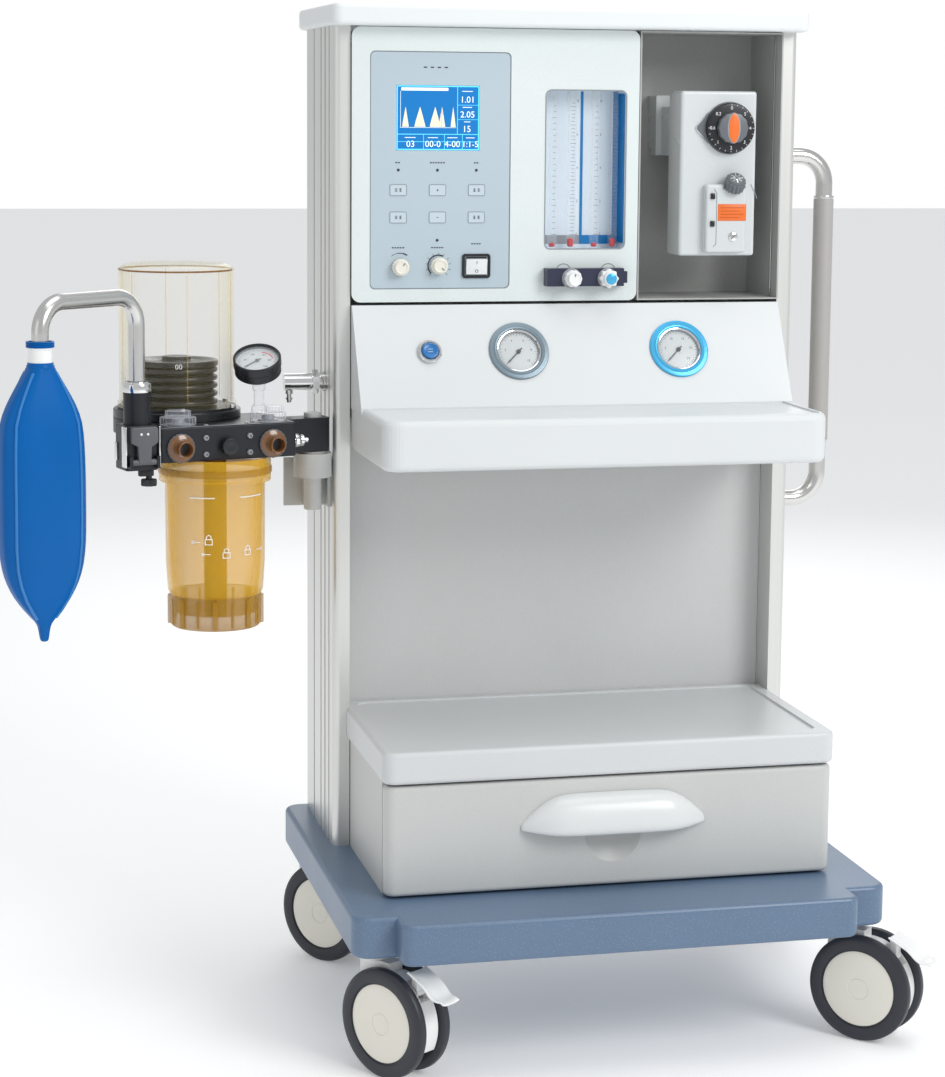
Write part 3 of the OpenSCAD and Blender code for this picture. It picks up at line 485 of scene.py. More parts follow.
def number(text, x, y, size, z=0.0, angle=0.0):
    """A figure, lying in the local XY plane"""
    deselect()
    bpy.ops.object.text_add()
    o = bpy.context.object
    o.data.body, o.data.size = text, size * MM
    o.data.align_x, o.data.align_y = "CENTER", "CENTER"
    o.data.extrude = 0.00008
    o.data.resolution_u = 3
    to_mesh(o)
    return put(o, move(x, y, z) @ turn(angle))


def to_mesh(o):
    take(o)
    ops.convert(target="MESH")
    return bpy.context.object


def put(o, place):
    """Moves a shape and applies its place, so that its object stays at the origin"""
    take(o)
    o.matrix_world = place @ o.matrix_world
    ops.transform_apply(location=True, rotation=True, scale=True)
    return o


def join(parts):
    parts = list(parts)
    if len(parts) > 1:
        deselect()
        for p in parts:
            p.select_set(True)
        bpy.context.view_layer.objects.active = parts[0]
        ops.join()
    return parts[0]


def modify(o, kind, **settings):
    take(o)
    modifier = o.modifiers.new(kind.lower(), kind)
    for key, value in settings.items():
        setattr(modifier, key, value)
    ops.modifier_apply(modifier=modifier.name)
    return o


def piece(name, shape, place, material, body="machine", stands_for=(), smooth=32):
    """Names a shape, puts it in its place, gives it its material and sets it on its body"""
    o = join(shape) if isinstance(shape, (list, tuple)) else shape
    put(o, place)
    o.name = o.data.name = name
    o.data.materials.clear()
    o.data.materials.append(LOOKS[material])
    take(o)
    ops.shade_smooth_by_angle(angle=radians(smooth))
    if body:
        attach(o, body)
    if stands_for:
        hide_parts(*stands_for)
    return o


def dress(material, *nodes):
    """Gives CAD nodes that stay a better material"""
    for n in nodes:
        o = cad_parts[n]
        if not o.material_slots:
            o.data.materials.append(None)
        for s in o.material_slots:
            s.material = LOOKS[material]


dress("base_paint", "base_tray")
dress("aluminium", "columns")
dress("white_plastic", "top_cover")
dress("console_paint", "console")
dress("worktop_paint", "worktop")
dress("panel_paint", "front_panel", "rear_panel")
dress("lower_paint", "lower_panel")
dress("warm_paint", "drawer_case", "drawer_tray", "arm_bracket")
dress("film", "display_bezel")
dress("film_key", "keypad")
dress("screen_blue", "lcd_screen")
dress("board", "flow_window")
dress("clear_tube", "flow_tubes")
dress("anodised", "swing_arm", "manifold_block")
dress("navy", "flow_manifold")
dress("dark_paint", "vaporizer_bay")
dress("black_matt", "control_box")
dress("white_enamel", "vaporizer_body")
dress("steel", "bag_arm")
dress("handle_tube", "side_handle")
dress("chrome", "gas_outlet")
dress("gloss_white", "drawer_handle", "brake_fl", "brake_fr")
dress("gloss_white", "fork_fl", "fork_fr", "fork_rl", "fork_rr")
dress("black_matt", "n2o_needle", "o2_needle", "airway_needle")
dress("red_ink", "n2o_floats", "o2_floats")
dress("grey_plastic", "selector_lever")
dress("black_matt", "bellows_cap", "lock_knob")

deselect()
mesh_ops.primitive_plane_add(size=1, location=(0, 0, 0))
floor = bpy.context.object
edit_all(floor, "FACE")
mesh_ops.subdivide(number_cuts=3)
bpy.ops.transform.resize(value=(60, 60, 1))
ops.mode_set(mode="OBJECT")
floor.name = "floor"
floor.data.materials.append(LOOKS["floor_paint"])


# ---- Casters ----

HEADINGS = {"fl": 56, "fr": 46, "rl": 50, "rr": 50}


def caster_place(key):
    lo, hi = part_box("wheel_" + key)
    return Matrix.Translation((lo + hi) / 2) @ turn(90 - HEADINGS[key])


def twin(shape):
    """The shape on both discs, its own +Z pointing outward along the axle"""
    other = shape.copy()
    other.data = shape.data.copy()
    bpy.context.collection.objects.link(other)
    return join([put(shape, turn(90, "Y")), put(other, turn(-90, "Y"))])


for key in HEADINGS:
    rim = turned([(40, 13.2), (60, 13), (68, 14.2), (71.4, 17), (71.95, 20), (71.95, 23.5),
                  (71, 26.6), (68.4, 28.6), (64, 29.4), (56.5, 29.6), (53.6, 29), (53, 27.4),
                  (40, 27.4), (40, 13.2)], 96)
    piece("tyre_" + key, twin(rim), caster_place(key), "tyre", "wheel_" + key,
          ["wheel_" + key])
    hub = turned([(0, 28.2), (13, 28.2), (13.6, 27.6), (14.6, 27.6), (15.2, 28.4), (30, 28.6),
                  (46, 28.2), (50.5, 27.6), (52.6, 26.6), (52.6, 14), (5, 14), (5, 1), (0, 1)], 80)
    piece("hub_" + key, twin(hub), caster_place(key), "cream", "wheel_" + key)


# ---- Gauges on the console ----

def tick_ring(radius, length, first, last, count, width, z=0.0):
    """Scale marks from one angle to another, in degrees"""
    marks = []
    for i in range(count):
        a = first + (last - first) * i / (count - 1)
        long = length if i % 5 == 0 else length * 0.55
        marks.append(wire([polar(radius, a, z), polar(radius - long, a, z)], width))
    return marks


def figures(values, radius, first, last, size, z=0.0):
    step = (last - first) / (len(values) - 1)
    return [number(str(v), *polar(radius, first + i * step)[:2], size, z)
            for i, v in enumerate(values)]


SWEEP = (225, -45)  # a gauge scale's first and last angle
FLUSH_X, N2O_GAUGE_X, O2_GAUGE_X = -204, -79, 150

for name, x, flange, values in (("n2o", N2O_GAUGE_X, "dial_grey", (0, 2, 4, 6, 8, 10)),
                                ("o2", O2_GAUGE_X, "dial_blue", (0, 5, 10, 15, 20, 25))):
    bezel = turned([(31.4, -2.5), (31.4, 3.4), (32.6, 4.4), (34.2, 4.6), (35.4, 3.6), (36.4, 3.2),
                    (39.5, 3.6), (41.4, 3.0), (42, 1.8), (42, 0.3), (33.5, 0.3), (33.5, -2.5),
                    (31.4, -2.5)], 96)
    case = turned([(0, -29.5), (31.5, -29.5), (32.4, -28.6), (32.4, -2.6), (31, -2.4),
                   (0, -2.4)], 64)
    stands = ["supply_gauges"] if name == "n2o" else ()
    piece(name + "_gauge_bezel", bezel, on_slope(x), flange, stands_for=stands)
    piece(name + "_gauge_dial", case, on_slope(x), "white_enamel")
    marks = tick_ring(27, 4, *SWEEP, 31, 0.22, -2.35) + figures(values, 18.5, *SWEEP, 4.6, -2.35)
    marks.append(wire(arc(27.6, *SWEEP, -6, -2.4), 0.18))
    piece(name + "_gauge_scale", marks, on_slope(x), "ink")
    piece(name + "_gauge_trim", turned([(28.4, 1.3), (29.4, 2.6), (30.8, 2.9), (31.8, 2.2),
                                        (31.8, 1.3), (28.4, 1.3)], 80), on_slope(x), "chrome")
    piece(name + "_gauge_glass",
          turned([(0, 1.2), (28, 1.2), (31.3, 0.8), (31.3, 0.1), (0, 0.1)], 64),
          on_slope(x), "clear_glass")

piece("flush_ring", turned([(12.2, 0), (12.2, 5.2), (13, 6), (15, 6), (16.4, 4.6), (16.8, 0.4),
                            (16.8, 0), (12.2, 0)], 64), on_slope(FLUSH_X), "chrome")
button = turned([(0, -12), (4, -12), (4, -8), (11.3, -8), (11.3, 6.2), (10.6, 7), (9.6, 7.2),
                 (8.8, 6.8), (5, 6.5), (0, 6.4)], 64)
piece("flush_cap", button, on_slope(FLUSH_X), "blue_plastic", "flush_button", ["flush_button"])
piece("flush_mark", [wire([(x, 2.2, 6.5) for x in (-3.6, -1.8, 0, 1.8, 3.6)], 0.3),
                     wire([(-3.6, -1.6, 6.5), (3.6, -1.6, 6.5)], 0.3)],
      on_slope(FLUSH_X), "white_ink", "flush_button")


# ---- Ventilator panel ----

FILM_Y = -5.2
VOLUME, TRIGGER = (-238.4, 1020.6), (-184.7, 1022.3)
N2O_KNOB_X, O2_KNOB_X, FLOW_KNOB_Z, FLOW_KNOB_Y = -1, 50, 1005, -24


def rounded(cx, cy, w, h, r, z=0.0, steps=4):
    """Points round a rectangle with round corners"""
    points = []
    for k, (sx, sy) in enumerate(((1, 1), (-1, 1), (-1, -1), (1, -1))):
        for i in range(steps + 1):
            corner = (cx + sx * (w / 2 - r), cy + sy * (h / 2 - r))
            points.append(polar(r, 90 * k + 90 * i / steps, z, corner))
    return points


KEYS = [(x, z) for x in (-241, -186.5, -132) for z in (1125, 1088)]
outlines = [wire(rounded(x, z, 22.8, 14.8, 2, 0.5), 0.35, True) for x, z in KEYS]
outlines.append(wire(rounded(-182.5, 1151, 194, 319, 7, 0.1), 0.4, True))
piece("key_outlines", outlines, on_front(0, 0, FILM_Y), "grey_ink")
symbols = []
for x, z in KEYS:
    if x == -186.5:
        symbols.append(wire([(x - 1.6, z, 0.6), (x + 1.6, z, 0.6)], 0.3))
        if z > 1100:
            symbols.append(wire([(x, z - 1.6, 0.6), (x, z + 1.6, 0.6)], 0.3))
    else:
        for dx in (-3, 3):
            symbols += [wire([(x + dx - 1.7, z + dz, 0.6), (x + dx + 1.7, z + dz, 0.6)], 0.28)
                        for dz in (-1.6, 0.1, 1.8)]
            symbols.append(wire([(x + dx, z - 2.2, 0.6), (x + dx, z + 2.4, 0.6)], 0.28))
for x, z in ((-241, 1152), (-186.7, 1152), (-132.5, 1152), (-186.6, 1057)):
    lamp = turned([(0, -0.3), (1.9, -0.3), (1.9, 0.5), (1.2, 0.9), (0, 1)], 24)
    symbols.append(put(lamp, move(x, z)))
for x, z, w in ((-241, 1162, 9), (-186.7, 1162, 22), (-132.5, 1162, 8), (-241, 1047, 18),
                (-186.6, 1047, 18), (-132, 1052, 15), (-186, 1290, 46)):
    pitch, dash = (9.6, 4.4) if z > 1200 else (3.6, 2.2)
    count = int(w / pitch)
    symbols += [wire([(x - w / 2 + pitch * (j + 0.5) - dash / 2, z, 0),
                      (x - w / 2 + pitch * (j + 0.5) + dash / 2, z, 0)], 0.8)
                for j in range(count)]
for first, last, width in ((128, 100, 0.35), (100, 78, 0.6), (78, 58, 0.9)):
    symbols.append(wire(arc(19, first, last, -4, 0, VOLUME), width))
symbols += [wire([polar(14.5, a, 0, TRIGGER), polar(18, a, 0, TRIGGER)], 0.3)
            for a in range(225, -46, -27)]
symbols.append(wire(arc(14.5, 225, 61, -9, 0, TRIGGER), 0.9))
piece("panel_marks", symbols, on_front(0, 0, FILM_Y), "ink")

LCD = on_front(-186.25, 1222.25, FILM_Y + 0.5)
piece("screen_border", [wire(rounded(0, 0, 113, 85, 0.6, 0, 1), 0.9, True),
                        wire([(27, -22, 0), (27, 42, 0)], 0.5),
                        wire([(-56, -22, 0), (56, -22, 0)], 0.5),
                        wire([(-56, -32, 0), (56, -32, 0)], 0.35)] +
      [wire([(27, y, 0), (56, y, 0)], 0.3) for y in (17.5, -2)] +
      [wire([(x, -42, 0), (x, -22, 0)], 0.4) for x in (-20, 9, 34)], LCD, "screen_cyan")
waves = [plate([(x - w * 0.5, -12), (x - w * 0.4, -5), (x - w * 0.2, 5), (x, 15), (x + w * 0.12, 9),
                (x + w * 0.3, -1), (x + w * 0.5, -12)], 0.25)
         for x, w in ((-45, 9), (-25, 15.5), (-4, 15), (5.5, 9), (21, 7))]
waves.append(slab((-51, 36.5, 0), (14, 40.5, 0.3), 0.1, 1))
waves.append(wire([(-52, -13, 0.1), (25, -13, 0.1)], 0.3))
waves.append(wire([(-52, -13, 0.1), (-52, 36, 0.1)], 0.3))
piece("screen_waves", waves[:5], LCD, "screen_cream")
piece("screen_axes", waves[5:], LCD, "screen_pale")
piece("screen_trace", wire([(4.6, -12, 0.4), (4.6, 12, 0.4), (6.6, 4, 0.4)], 0.35), LCD,
      "screen_pink")
digits = [number(t, x, y, s, 0.15) for t, x, y, s in (
    ("1.01", 41, 24.5, 12), ("2.05", 41, 4.5, 12), ("15", 40, -15, 12),
    ("00-0", -7, -35.5, 12), ("4-00", 20, -35.5, 12), ("1:1-5", 45, -35.5, 11.5),
    ("03", -38, -35.5, 12))]
digits += [wire([(x, z, 0.1), (x + w, z, 0.1)], 0.5) for x, z, w in
           ((33, 36, 15), (34, 14.5, 13), (36, -5, 9), (-46, -26.5, 15), (-14, -26.5, 14),
            (13, -26.5, 14), (39, -26.5, 12))]
piece("screen_digits", digits, LCD, "screen_pale")


FINE_RIM, STAR_RIM = (12, 0.7), (13.4, 2.4)  # radius and depth of the hollows


def pointer_knob(name, place, body, material, length, lobes, mark_angle, rim=FINE_RIM):
    """A scalloped skirt, a drawn-in crown with a hollow top and an index line"""
    skirt = scalloped(*rim, lobes, length * 0.55, 0.8)
    crown = turned([(0, length * 0.5), (10.4, length * 0.5), (9.6, length * 0.86),
                    (9, length - 0.5), (8.2, length), (7, length - 0.4), (6.4, length - 1),
                    (0, length - 1.2)], 48)
    shaft = turned([(0, -9), (3, -9), (3, 2), (0, 2)], 24)
    put(skirt, move(z=0.8))
    piece(name, [skirt, crown, shaft], place, material, body, [body])
    mark = wire([polar(r, mark_angle, length - drop)
                 for r, drop in ((3, 0.7), (7, 0.1), (9.2, 2.6))], 0.45)
    piece(name + "_mark", mark, place, "ink", body)


N2O_KNOB = on_front(N2O_KNOB_X, FLOW_KNOB_Z, FLOW_KNOB_Y)
O2_KNOB = on_front(O2_KNOB_X, FLOW_KNOB_Z, FLOW_KNOB_Y)
pointer_knob("volume_dial", on_front(*VOLUME, FILM_Y), "volume_knob", "cream", 16, 18, 55)
pointer_knob("trigger_dial", on_front(*TRIGGER, FILM_Y), "trigger_knob", "cream", 16, 18, -48)
pointer_knob("n2o_flow_knob", N2O_KNOB, "n2o_knob", "gloss_white", 21, 10, 90)
pointer_knob("o2_flow_knob", O2_KNOB, "o2_knob", "gloss_white", 21, 8, 90, STAR_RIM)
piece("n2o_knob_ring", wire(circle(8.4, 32, 20), 0.5, True), N2O_KNOB, "grey_ink", "n2o_knob")
piece("o2_knob_centre", turned([(0, 19.6), (7.8, 19.6), (7.6, 21.2), (6.4, 21.8), (0, 22)], 40),
      O2_KNOB, "dial_blue", "o2_knob")
piece("gas_knob_rings", [put(turned([(4, 0), (14, 0), (14, 1.6), (13, 2.4), (4, 2.4), (4, 0)], 40),
                             move(x, FLOW_KNOB_Z)) for x in (N2O_KNOB_X, O2_KNOB_X)],
      on_front(0, 0, -23.8), "mid_grey")
piece("gas_arcs", [wire(arc(11, 150, 30, -12, 0, (x, 1013)), 0.4) for x in (-8, 56)],
      on_front(0, 0, -6), "ink")

ROCKER_AT, ROCKER_PIVOT_Y, ROCKER_LEAN = (-132, 1021.75), -3.2, 7
half_w, half_h = 14.6, 10.5
rocker_frame = wire(rounded(*ROCKER_AT, 36, 29.5, 2.5, 2.2), 2.1, True)
piece("rocker_frame", rocker_frame, on_front(0, 0, FILM_Y), "black")
ROCKER = on_front(*ROCKER_AT, ROCKER_PIVOT_Y) @ turn(ROCKER_LEAN, "X") @ move(z=2)
rocker = slab((-half_w, -half_h, -2), (half_w, half_h, 5), 0.5, 2)
edit_all(rocker, "FACE")
mesh_ops.bisect(plane_co=(0, 0, 0), plane_no=(0, 1, 0))
choose(rocker, lambda v: abs(v.co.y) > 9 * MM and v.co.z > 3 * MM, "vertices")
bpy.ops.transform.translate(value=(0, 0, 1.3 * MM))
close_edit(rocker)
piece("rocker_key", rocker, ROCKER, "white_plastic",
      "power_rocker", ["power_rocker"])
piece("rocker_marks", [wire([(0, 4, 5.7), (0, 8, 6.1)], 0.4),
                       wire(circle(2, 12, 5.9, (0, -6)), 0.35, True)],
      ROCKER, "ink", "power_rocker")


# ---- Flow tubes ----

WINDOW = on_front(0, 0, 33)
TUBES, TUBE_Y, TUBE_FOOT = (-19.6, 6.9, 40.7, 67.4), 15, 1046.4
piece("window_blue", [slab((24.5, 1050, 0), (28.4, 1260, 0.6), 0.2, 1),
                      slab((71.5, 1050, 0), (79.6, 1260, 0.6), 0.2, 1),
                      slab((24.5, 1049.5, 0), (79.6, 1061.8, 0.7), 0.2, 1),
                      slab((79, 1052, 2), (79.8, 1258, 30), 0.3, 1)], WINDOW, "blue_ink")
piece("window_band", slab((-35, 1049.5, 0), (24, 1061.8, 0.5), 0.2, 1), WINDOW, "mid_grey")
scales = []
for x, half, pitch in zip(TUBES, (3.2, 4.2, 3.2, 4.2), (8, 5, 8, 5)):
    for i in range(int(186 / pitch)):
        long = half if i % 5 == 0 else half * 0.62
        z = 1064 + i * pitch
        scales.append(wire([(x - long, z, 27.2), (x + long, z, 27.2)], 0.36))
piece("window_scales", scales, WINDOW, "grey_ink")
piece("window_figures", [number(str(v), x, 1063 + i * 46, 5, 0.1)
                         for x in (20.5, 54) for i, v in enumerate((0, 2, 4, 6, 8))],
      WINDOW, "grey_ink")
piece("window_rim", wire(rounded(22, 1153, 115, 217, 8, 0), 0.9, True), on_front(0, 0, -6),
      "mid_grey")
for key, first in (("n2o", 0), ("o2", 2)):
    floats = []
    for x, h in zip(TUBES[first:first + 2], (6, 12)):
        bobbin = turned([(0, 0), (2.6, 0), (4.2, 2), (4.2, h - 2), (3.4, h - 1.2), (1.2, h),
                         (0, h)], 32)
        floats.append(put(bobbin, at(x, TUBE_Y, TUBE_FOOT)))
    piece(key + "_bobbins", floats, Matrix(), "red_ink", key + "_floats", [key + "_floats"])


# ---- Vaporizer ----

DIAL_X, DIAL_Z = 223, 1211.5
DIAL = on_front(DIAL_X, DIAL_Z, -23)
ring = turned([(0, 0.4), (34.4, 0.4), (35, 1.4), (34.6, 6.4), (33, 8.4), (30, 9), (0, 9)], 96)
shaft = turned([(0, -13), (5, -13), (5, 1), (0, 1)], 32)
piece("vapour_dial", [ring, shaft], DIAL, "black", "vaporizer_dial", ["vaporizer_dial"])
grip = scalloped(21.5, 1.0, 12, 11, 1.6)
piece("vapour_grip", put(grip, move(z=8.8)), DIAL, "grip_grey", "vaporizer_dial")
bar = plate([(9.6 * x, 21 * y) for x, y, _ in circle(1, 32)], 3.2, 1)
pill = [(7.6 * x, 20 * y) for x, y, _ in circle(1, 32)]
piece("vapour_grip_bar", put(bar, move(z=17.5)), DIAL, "mid_grey", "vaporizer_dial")
piece("vapour_grip_mark", put(plate(pill, 1, 0.3), move(z=20.2)), DIAL, "orange", "vaporizer_dial")
marks = figures((0, 5, 4, 3, 2, 1, 0.6, 0.2), 27.3, 90, -225, 6.4, 9.1)
marks += [wire([polar(31, a, 8.9), polar(33.4, a, 8.2)], 0.3) for a in range(90, -181, -15)]
piece("vapour_scale", marks, DIAL, "white_ink", "vaporizer_dial")
drop = arc(36.8, -140, 140, 7) + arc(6, 120, 240, 20, 0, (-42, 0))
piece("vapour_seat", plate(drop, 3.1, 0.8), on_front(DIAL_X, DIAL_Z, -20), "grip_grey")

CAP = at(228, -30, 1128) @ turn(42, "X")
cap = scalloped(14.5, 1.3, 16, 15, 1.0)
crown = turned([(0, 14.8), (12.4, 14.8), (12.2, 16.6), (10.6, 18.2), (0, 18.6)], 48)
stem = turned([(0, -11), (3, -11), (3, 3), (0, 3)], 24)
put(cap, move(z=2.3)), put(crown, move(z=2.2))
piece("filler_knob", [cap, crown, stem], CAP, "grip_grey", "filler_cap", ["filler_cap"])
piece("filler_star", [wire([polar(2, 45 * i, 20.6), polar(9, 45 * i, 20.6)], 0.7)
                      for i in range(8)],
      CAP, "chrome", "filler_cap")
piece("filler_wire", wire([(257, 1134, 0.4), (260, 1128, 0.6), (264, 1121, 0.6), (266, 1114, 0.4)],
                          0.5), on_front(0, 0, -20), "mid_grey")
BLOCK = on_front(0, 0, -34)
piece("filler_label", slab((205, 1084, 0), (246, 1107, 0.5), 0.4, 2), BLOCK, "orange")
piece("filler_label_lines", [wire([(209, z, 0.5), (242 - 6 * (i % 2), z, 0.5)], 0.35)
                             for i, z in enumerate((1102, 1097.5, 1093, 1088.5))],
      BLOCK, "dark_orange")
piece("filler_catches", [slab((194, z - 4, -2), (200, z + 4, 3), 0.8, 2) for z in (1118, 1080)],
      BLOCK, "black")
screw = turned([(0, 2.2), (5, 2.0), (6.4, 1.2), (6.6, 0), (0, 0)], 40)
piece("filler_screw", put(screw, move(227.5, 1062)), BLOCK, "chrome")
piece("filler_screw_slot", wire([(224, 1058.5, 2.1), (231, 1065.5, 2.1)], 0.6), BLOCK, "ink")
piece("filler_groove", wire([(199, 1048, 0), (203, 1052, 0), (203, 1122, 0), (199, 1128, 0)], 0.5),
      BLOCK, "grey_ink")


# ---- Absorber ----

BELLOWS_AT, VALVES_X, PORTS_X = (-171, 67), (-208, -80), (-215, -85)
BLOCK_TOP_Z = 819
BELLOWS = ARM @ move(*BELLOWS_AT, 834)
FOLDS_TOP = 54.2
dome = turned([(80.5, 0), (80.5, 5), (79, 7), (77.6, 7.4), (77.5, 178), (75.6, 186), (71, 190.4),
               (65, 192), (0, 192), (0, 190), (64, 190), (70, 188.4), (73.8, 184.8), (75.2, 178),
               (75.2, 0), (80.5, 0)], 72)
piece("dome_shell", dome, BELLOWS, "clear_dome", "absorber", ["bellows_dome"],
      smooth=4)
piece("dome_rim", wire(circle(76.6, 72, 184), 1.3, True), BELLOWS, "amber_deep", "absorber")
folds = [(0, 0.3), (48, 0.3)]
for i in range(5):
    z = 0.6 + 10.8 * i
    folds += [(50, z + 0.8), (54, z + 2.2), (55, z + 4.2), (55, z + 6.2), (54, z + 8),
              (50, z + 9.6), (47.6, z + 10.4)]
folds += [(47, FOLDS_TOP), (0, FOLDS_TOP)]
bellows_folds = piece("bellows_folds", turned(folds, 72), BELLOWS, "bellows_rubber", None,
                      ["bellows"])
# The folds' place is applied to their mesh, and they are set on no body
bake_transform(bellows_folds)
piece("bellows_top", turned([(0, 54.8), (55.5, 54.8), (56, 56), (56, 60.6), (54.6, 62), (38, 62),
                             (36, 60.8), (22, 60.8), (20, 62.4), (19.6, 65.8), (18.4, 66.6),
                             (0, 66.6)], 72), BELLOWS, "black", "bellows_cap", ["bellows_cap"])
piece("dome_ribs", [wire([polar(76.9, a, z) for z in (8, 180)], 0.5) for a in range(20, 380, 60)],
      BELLOWS, "amber_clear", "absorber")
piece("bellows_figures", [put(number("00", 0, 0, 10), turn(a) @ move(0, -56.1, 56.4) @ FACE_FRONT)
                          for a in (-18, 62)],
      BELLOWS, "white_ink", "bellows_cap")

BLOCK_TOP = ARM @ move(z=BLOCK_TOP_Z)
piece("block_line", [wire(rounded(-147, -2, 187, 114, 4, 0), 0.5, True),
                     wire([(-242, -56, -6), (-51, -56, -6)], 0.1)], BLOCK_TOP, "mid_grey",
      "absorber")
SCREW = [(0, -1), (3.4, -1), (3.4, 0.9), (2.6, 1.4), (1.6, 1.4), (1.5, 0.2), (0, 0.2)]
piece("block_screws", [put(turned(SCREW, 24), move(x, y)) for x, y in
                       ((-116, -50), (-176, -52), (-58, -52), (-58, 50), (-104, 50))],
      BLOCK_TOP, "chrome", "absorber")
piece("base_ring", turned([(80, 12), (84.5, 12), (86, 10.5), (86, 0.6), (84, 0.2), (80, 0.2),
                           (80, 12)], 96), BLOCK_TOP @ move(*BELLOWS_AT), "black", "absorber")
piece("base_screws", [put(turned([(0, 0), (3.6, 0), (3.6, 3), (2.8, 4), (0, 4)], 20),
                          turn(a) @ move(81, 0, 14.6)) for a in range(15, 375, 60)],
      BLOCK_TOP @ move(*BELLOWS_AT), "chrome", "absorber")


VALVE_Y = -34


def valve_cover(x, shift, r):
    """A clear fluted cover over a dark seat, with a rim screwed to the block"""
    base = scalloped(24, 1.2, 24, 11, 1.2, 4)
    top = put(scalloped(r, 0.9, 18, 8.5, 1.4, 4), move(shift, 0, 11))
    return put(join([base, top]), move(x, VALVE_Y, 0.2))


covers = [valve_cover(VALVES_X[0], 0, 17), valve_cover(VALVES_X[1], 9, 13)]
piece("valve_covers", covers, BLOCK_TOP, "clear_cover", "absorber", ["valve_domes"])
SEAT = [(0, 0.4), (14, 0.4), (14, 2), (9, 2.6), (8, 8), (3, 9), (0, 9)]
piece("valve_seats", [put(turned(SEAT, 40), move(x, VALVE_Y, 0.4)) for x in VALVES_X], BLOCK_TOP,
      "mid_grey", "absorber")

PORTS = ARM @ move(0, -62, 792) @ FACE_FRONT
ports = []
for x in PORTS_X:
    ports.append(put(turned([(8.5, -30), (8.5, 20.5), (9.2, 22), (10.4, 22), (11, 20.6), (11, 9),
                             (11.8, 8), (11.8, 5.4), (15.5, 4.6), (17.6, 3.6), (18, 2), (18, 0.2),
                             (12, 0.2), (8.5, -30)], 64), move(x)))
piece("port_bodies", ports, PORTS, "brown", "absorber", ["hose_ports"])
piece("port_nuts", [put(scalloped(19.6, 0.7, 20, 3.2, 0.8, 4), move(x)) for x in PORTS_X], PORTS,
      "grey_plastic", "absorber")
piece("port_plug", put(turned([(9, 1), (11.5, 1), (11.8, 8), (10.8, 11.2), (8, 11.8), (4, 11.2),
                               (0, 11)], 48), move(-149)), PORTS, "black", "absorber")
HEX_BOLT = [(0, 0), (4, 0), (4, 3), (3.2, 4), (2, 4), (2, 2), (0, 2)]
piece("port_bolts", [put(turned(HEX_BOLT, 6), move(x, y))
                     for x, y in ((-180, 12), (-118, 12), (-180, -10), (-118, -10))],
      PORTS, "mid_grey", "absorber")

AIRWAY_AT = (-92, -32)
GAUGE = ARM @ move(*AIRWAY_AT, 872) @ turn(-30) @ turn(30, "X")
cup = turned([(0, 2), (9, 3), (12, 6), (22, 11), (29, 15), (31, 17), (31, 27), (32, 28.4),
              (32, 38.8), (31.2, 40), (29.4, 40), (29, 39), (29, 32.6), (0, 32.6)], 80)
piece("airway_cup", cup, GAUGE, "black", "absorber", ["airway_gauge"])
piece("airway_stem", turned([(0, 12), (10, 12), (10.4, 14), (10.4, 19), (8, 21), (7, 24), (7, 40),
                             (9, 43), (9, 49), (7.5, 52), (7.5, 57), (0, 57)], 40),
      ARM @ move(*AIRWAY_AT, BLOCK_TOP_Z), "clear_cover", "absorber")
piece("airway_dial", turned([(0, 32.7), (28.6, 32.7), (28.8, 33), (0, 33.2)], 64), GAUGE,
      "white_enamel", "absorber")
scale = tick_ring(25.5, 4, *SWEEP, 31, 0.22, 33.2)
scale += figures((0, 20, 40, 60, 80, 100), 16.5, *SWEEP, 5, 33.2)
piece("airway_scale", scale, GAUGE, "ink", "absorber")
piece("airway_red", [wire(arc(r, 80, 20, -6, 33.1), 0.6) for r in (20.6, 21.6)], GAUGE, "red_ink",
      "absorber")
piece("airway_glass", turned([(0, 37.6), (20, 37.5), (28.8, 36.6), (28.8, 35.9), (0, 35.9)], 64),
      GAUGE, "clear_glass", "absorber")

LEVER = ARM @ move(0, -63, 777) @ FACE_FRONT
lever = plate([(-276, -1), (-274.5, -1), (-260.5, -1), (-259, -1), (-258, 20), (-250, 25),
               (-249, 28), (-249, 43), (-251, 46), (-284, 46), (-286, 43), (-286, 28),
               (-285, 25), (-277, 21)], 9, 1.2, 3)
pin = put(turned([(0, -19), (4, -19), (4, 19), (0, 19)], 24), move(-267, 0, 4.5) @ turn(90, "Y"))
piece("selector_body", [lever, pin], LEVER, "grey_plastic", "selector_lever", ["selector_lever"])
piece("selector_dots", [put(turned([(0, 0), (1.6, 0), (1.6, 0.4), (0, 0.5)], 20), move(x, 37, 8.9))
                        for x in (-272.5, -263.5)],
      LEVER, "white_ink", "selector_lever")

knob = scalloped(11, 1.4, 8, 9, 1.5)
shank = turned([(0, 8), (4, 8), (4, 36), (0, 36)], 24)
arm = slab((-14, -4, 13), (6, 4, 22.6), 1.5)
piece("lock_grip", [knob, shank, arm], ARM @ move(-252, -42, 742), "black_matt", "lock_knob",
      ["lock_knob"])
piece("module_clips", [slab((x, -66, 770), (x + 2, -50, 823), 0.6, 2) for x in (-292, -246)] +
      [slab((-292, -30, 776), (-290, -22, 800), 0.6, 2)], ARM, "chrome", "absorber")
fitting = [turned([(0, 0), (7, 0), (7, 4), (5, 5), (5, 10), (8, 11), (8, 15), (6, 17), (3.4, 18),
                   (3.4, 22), (0, 22)], 32)]
fitting.append(put(scalloped(9, 0.8, 12, 6, 0.8, 4), move(z=3)))
piece("block_fitting", fitting, ARM @ move(-50, -46, 792) @ turn(90, "Y"), "chrome", "absorber")

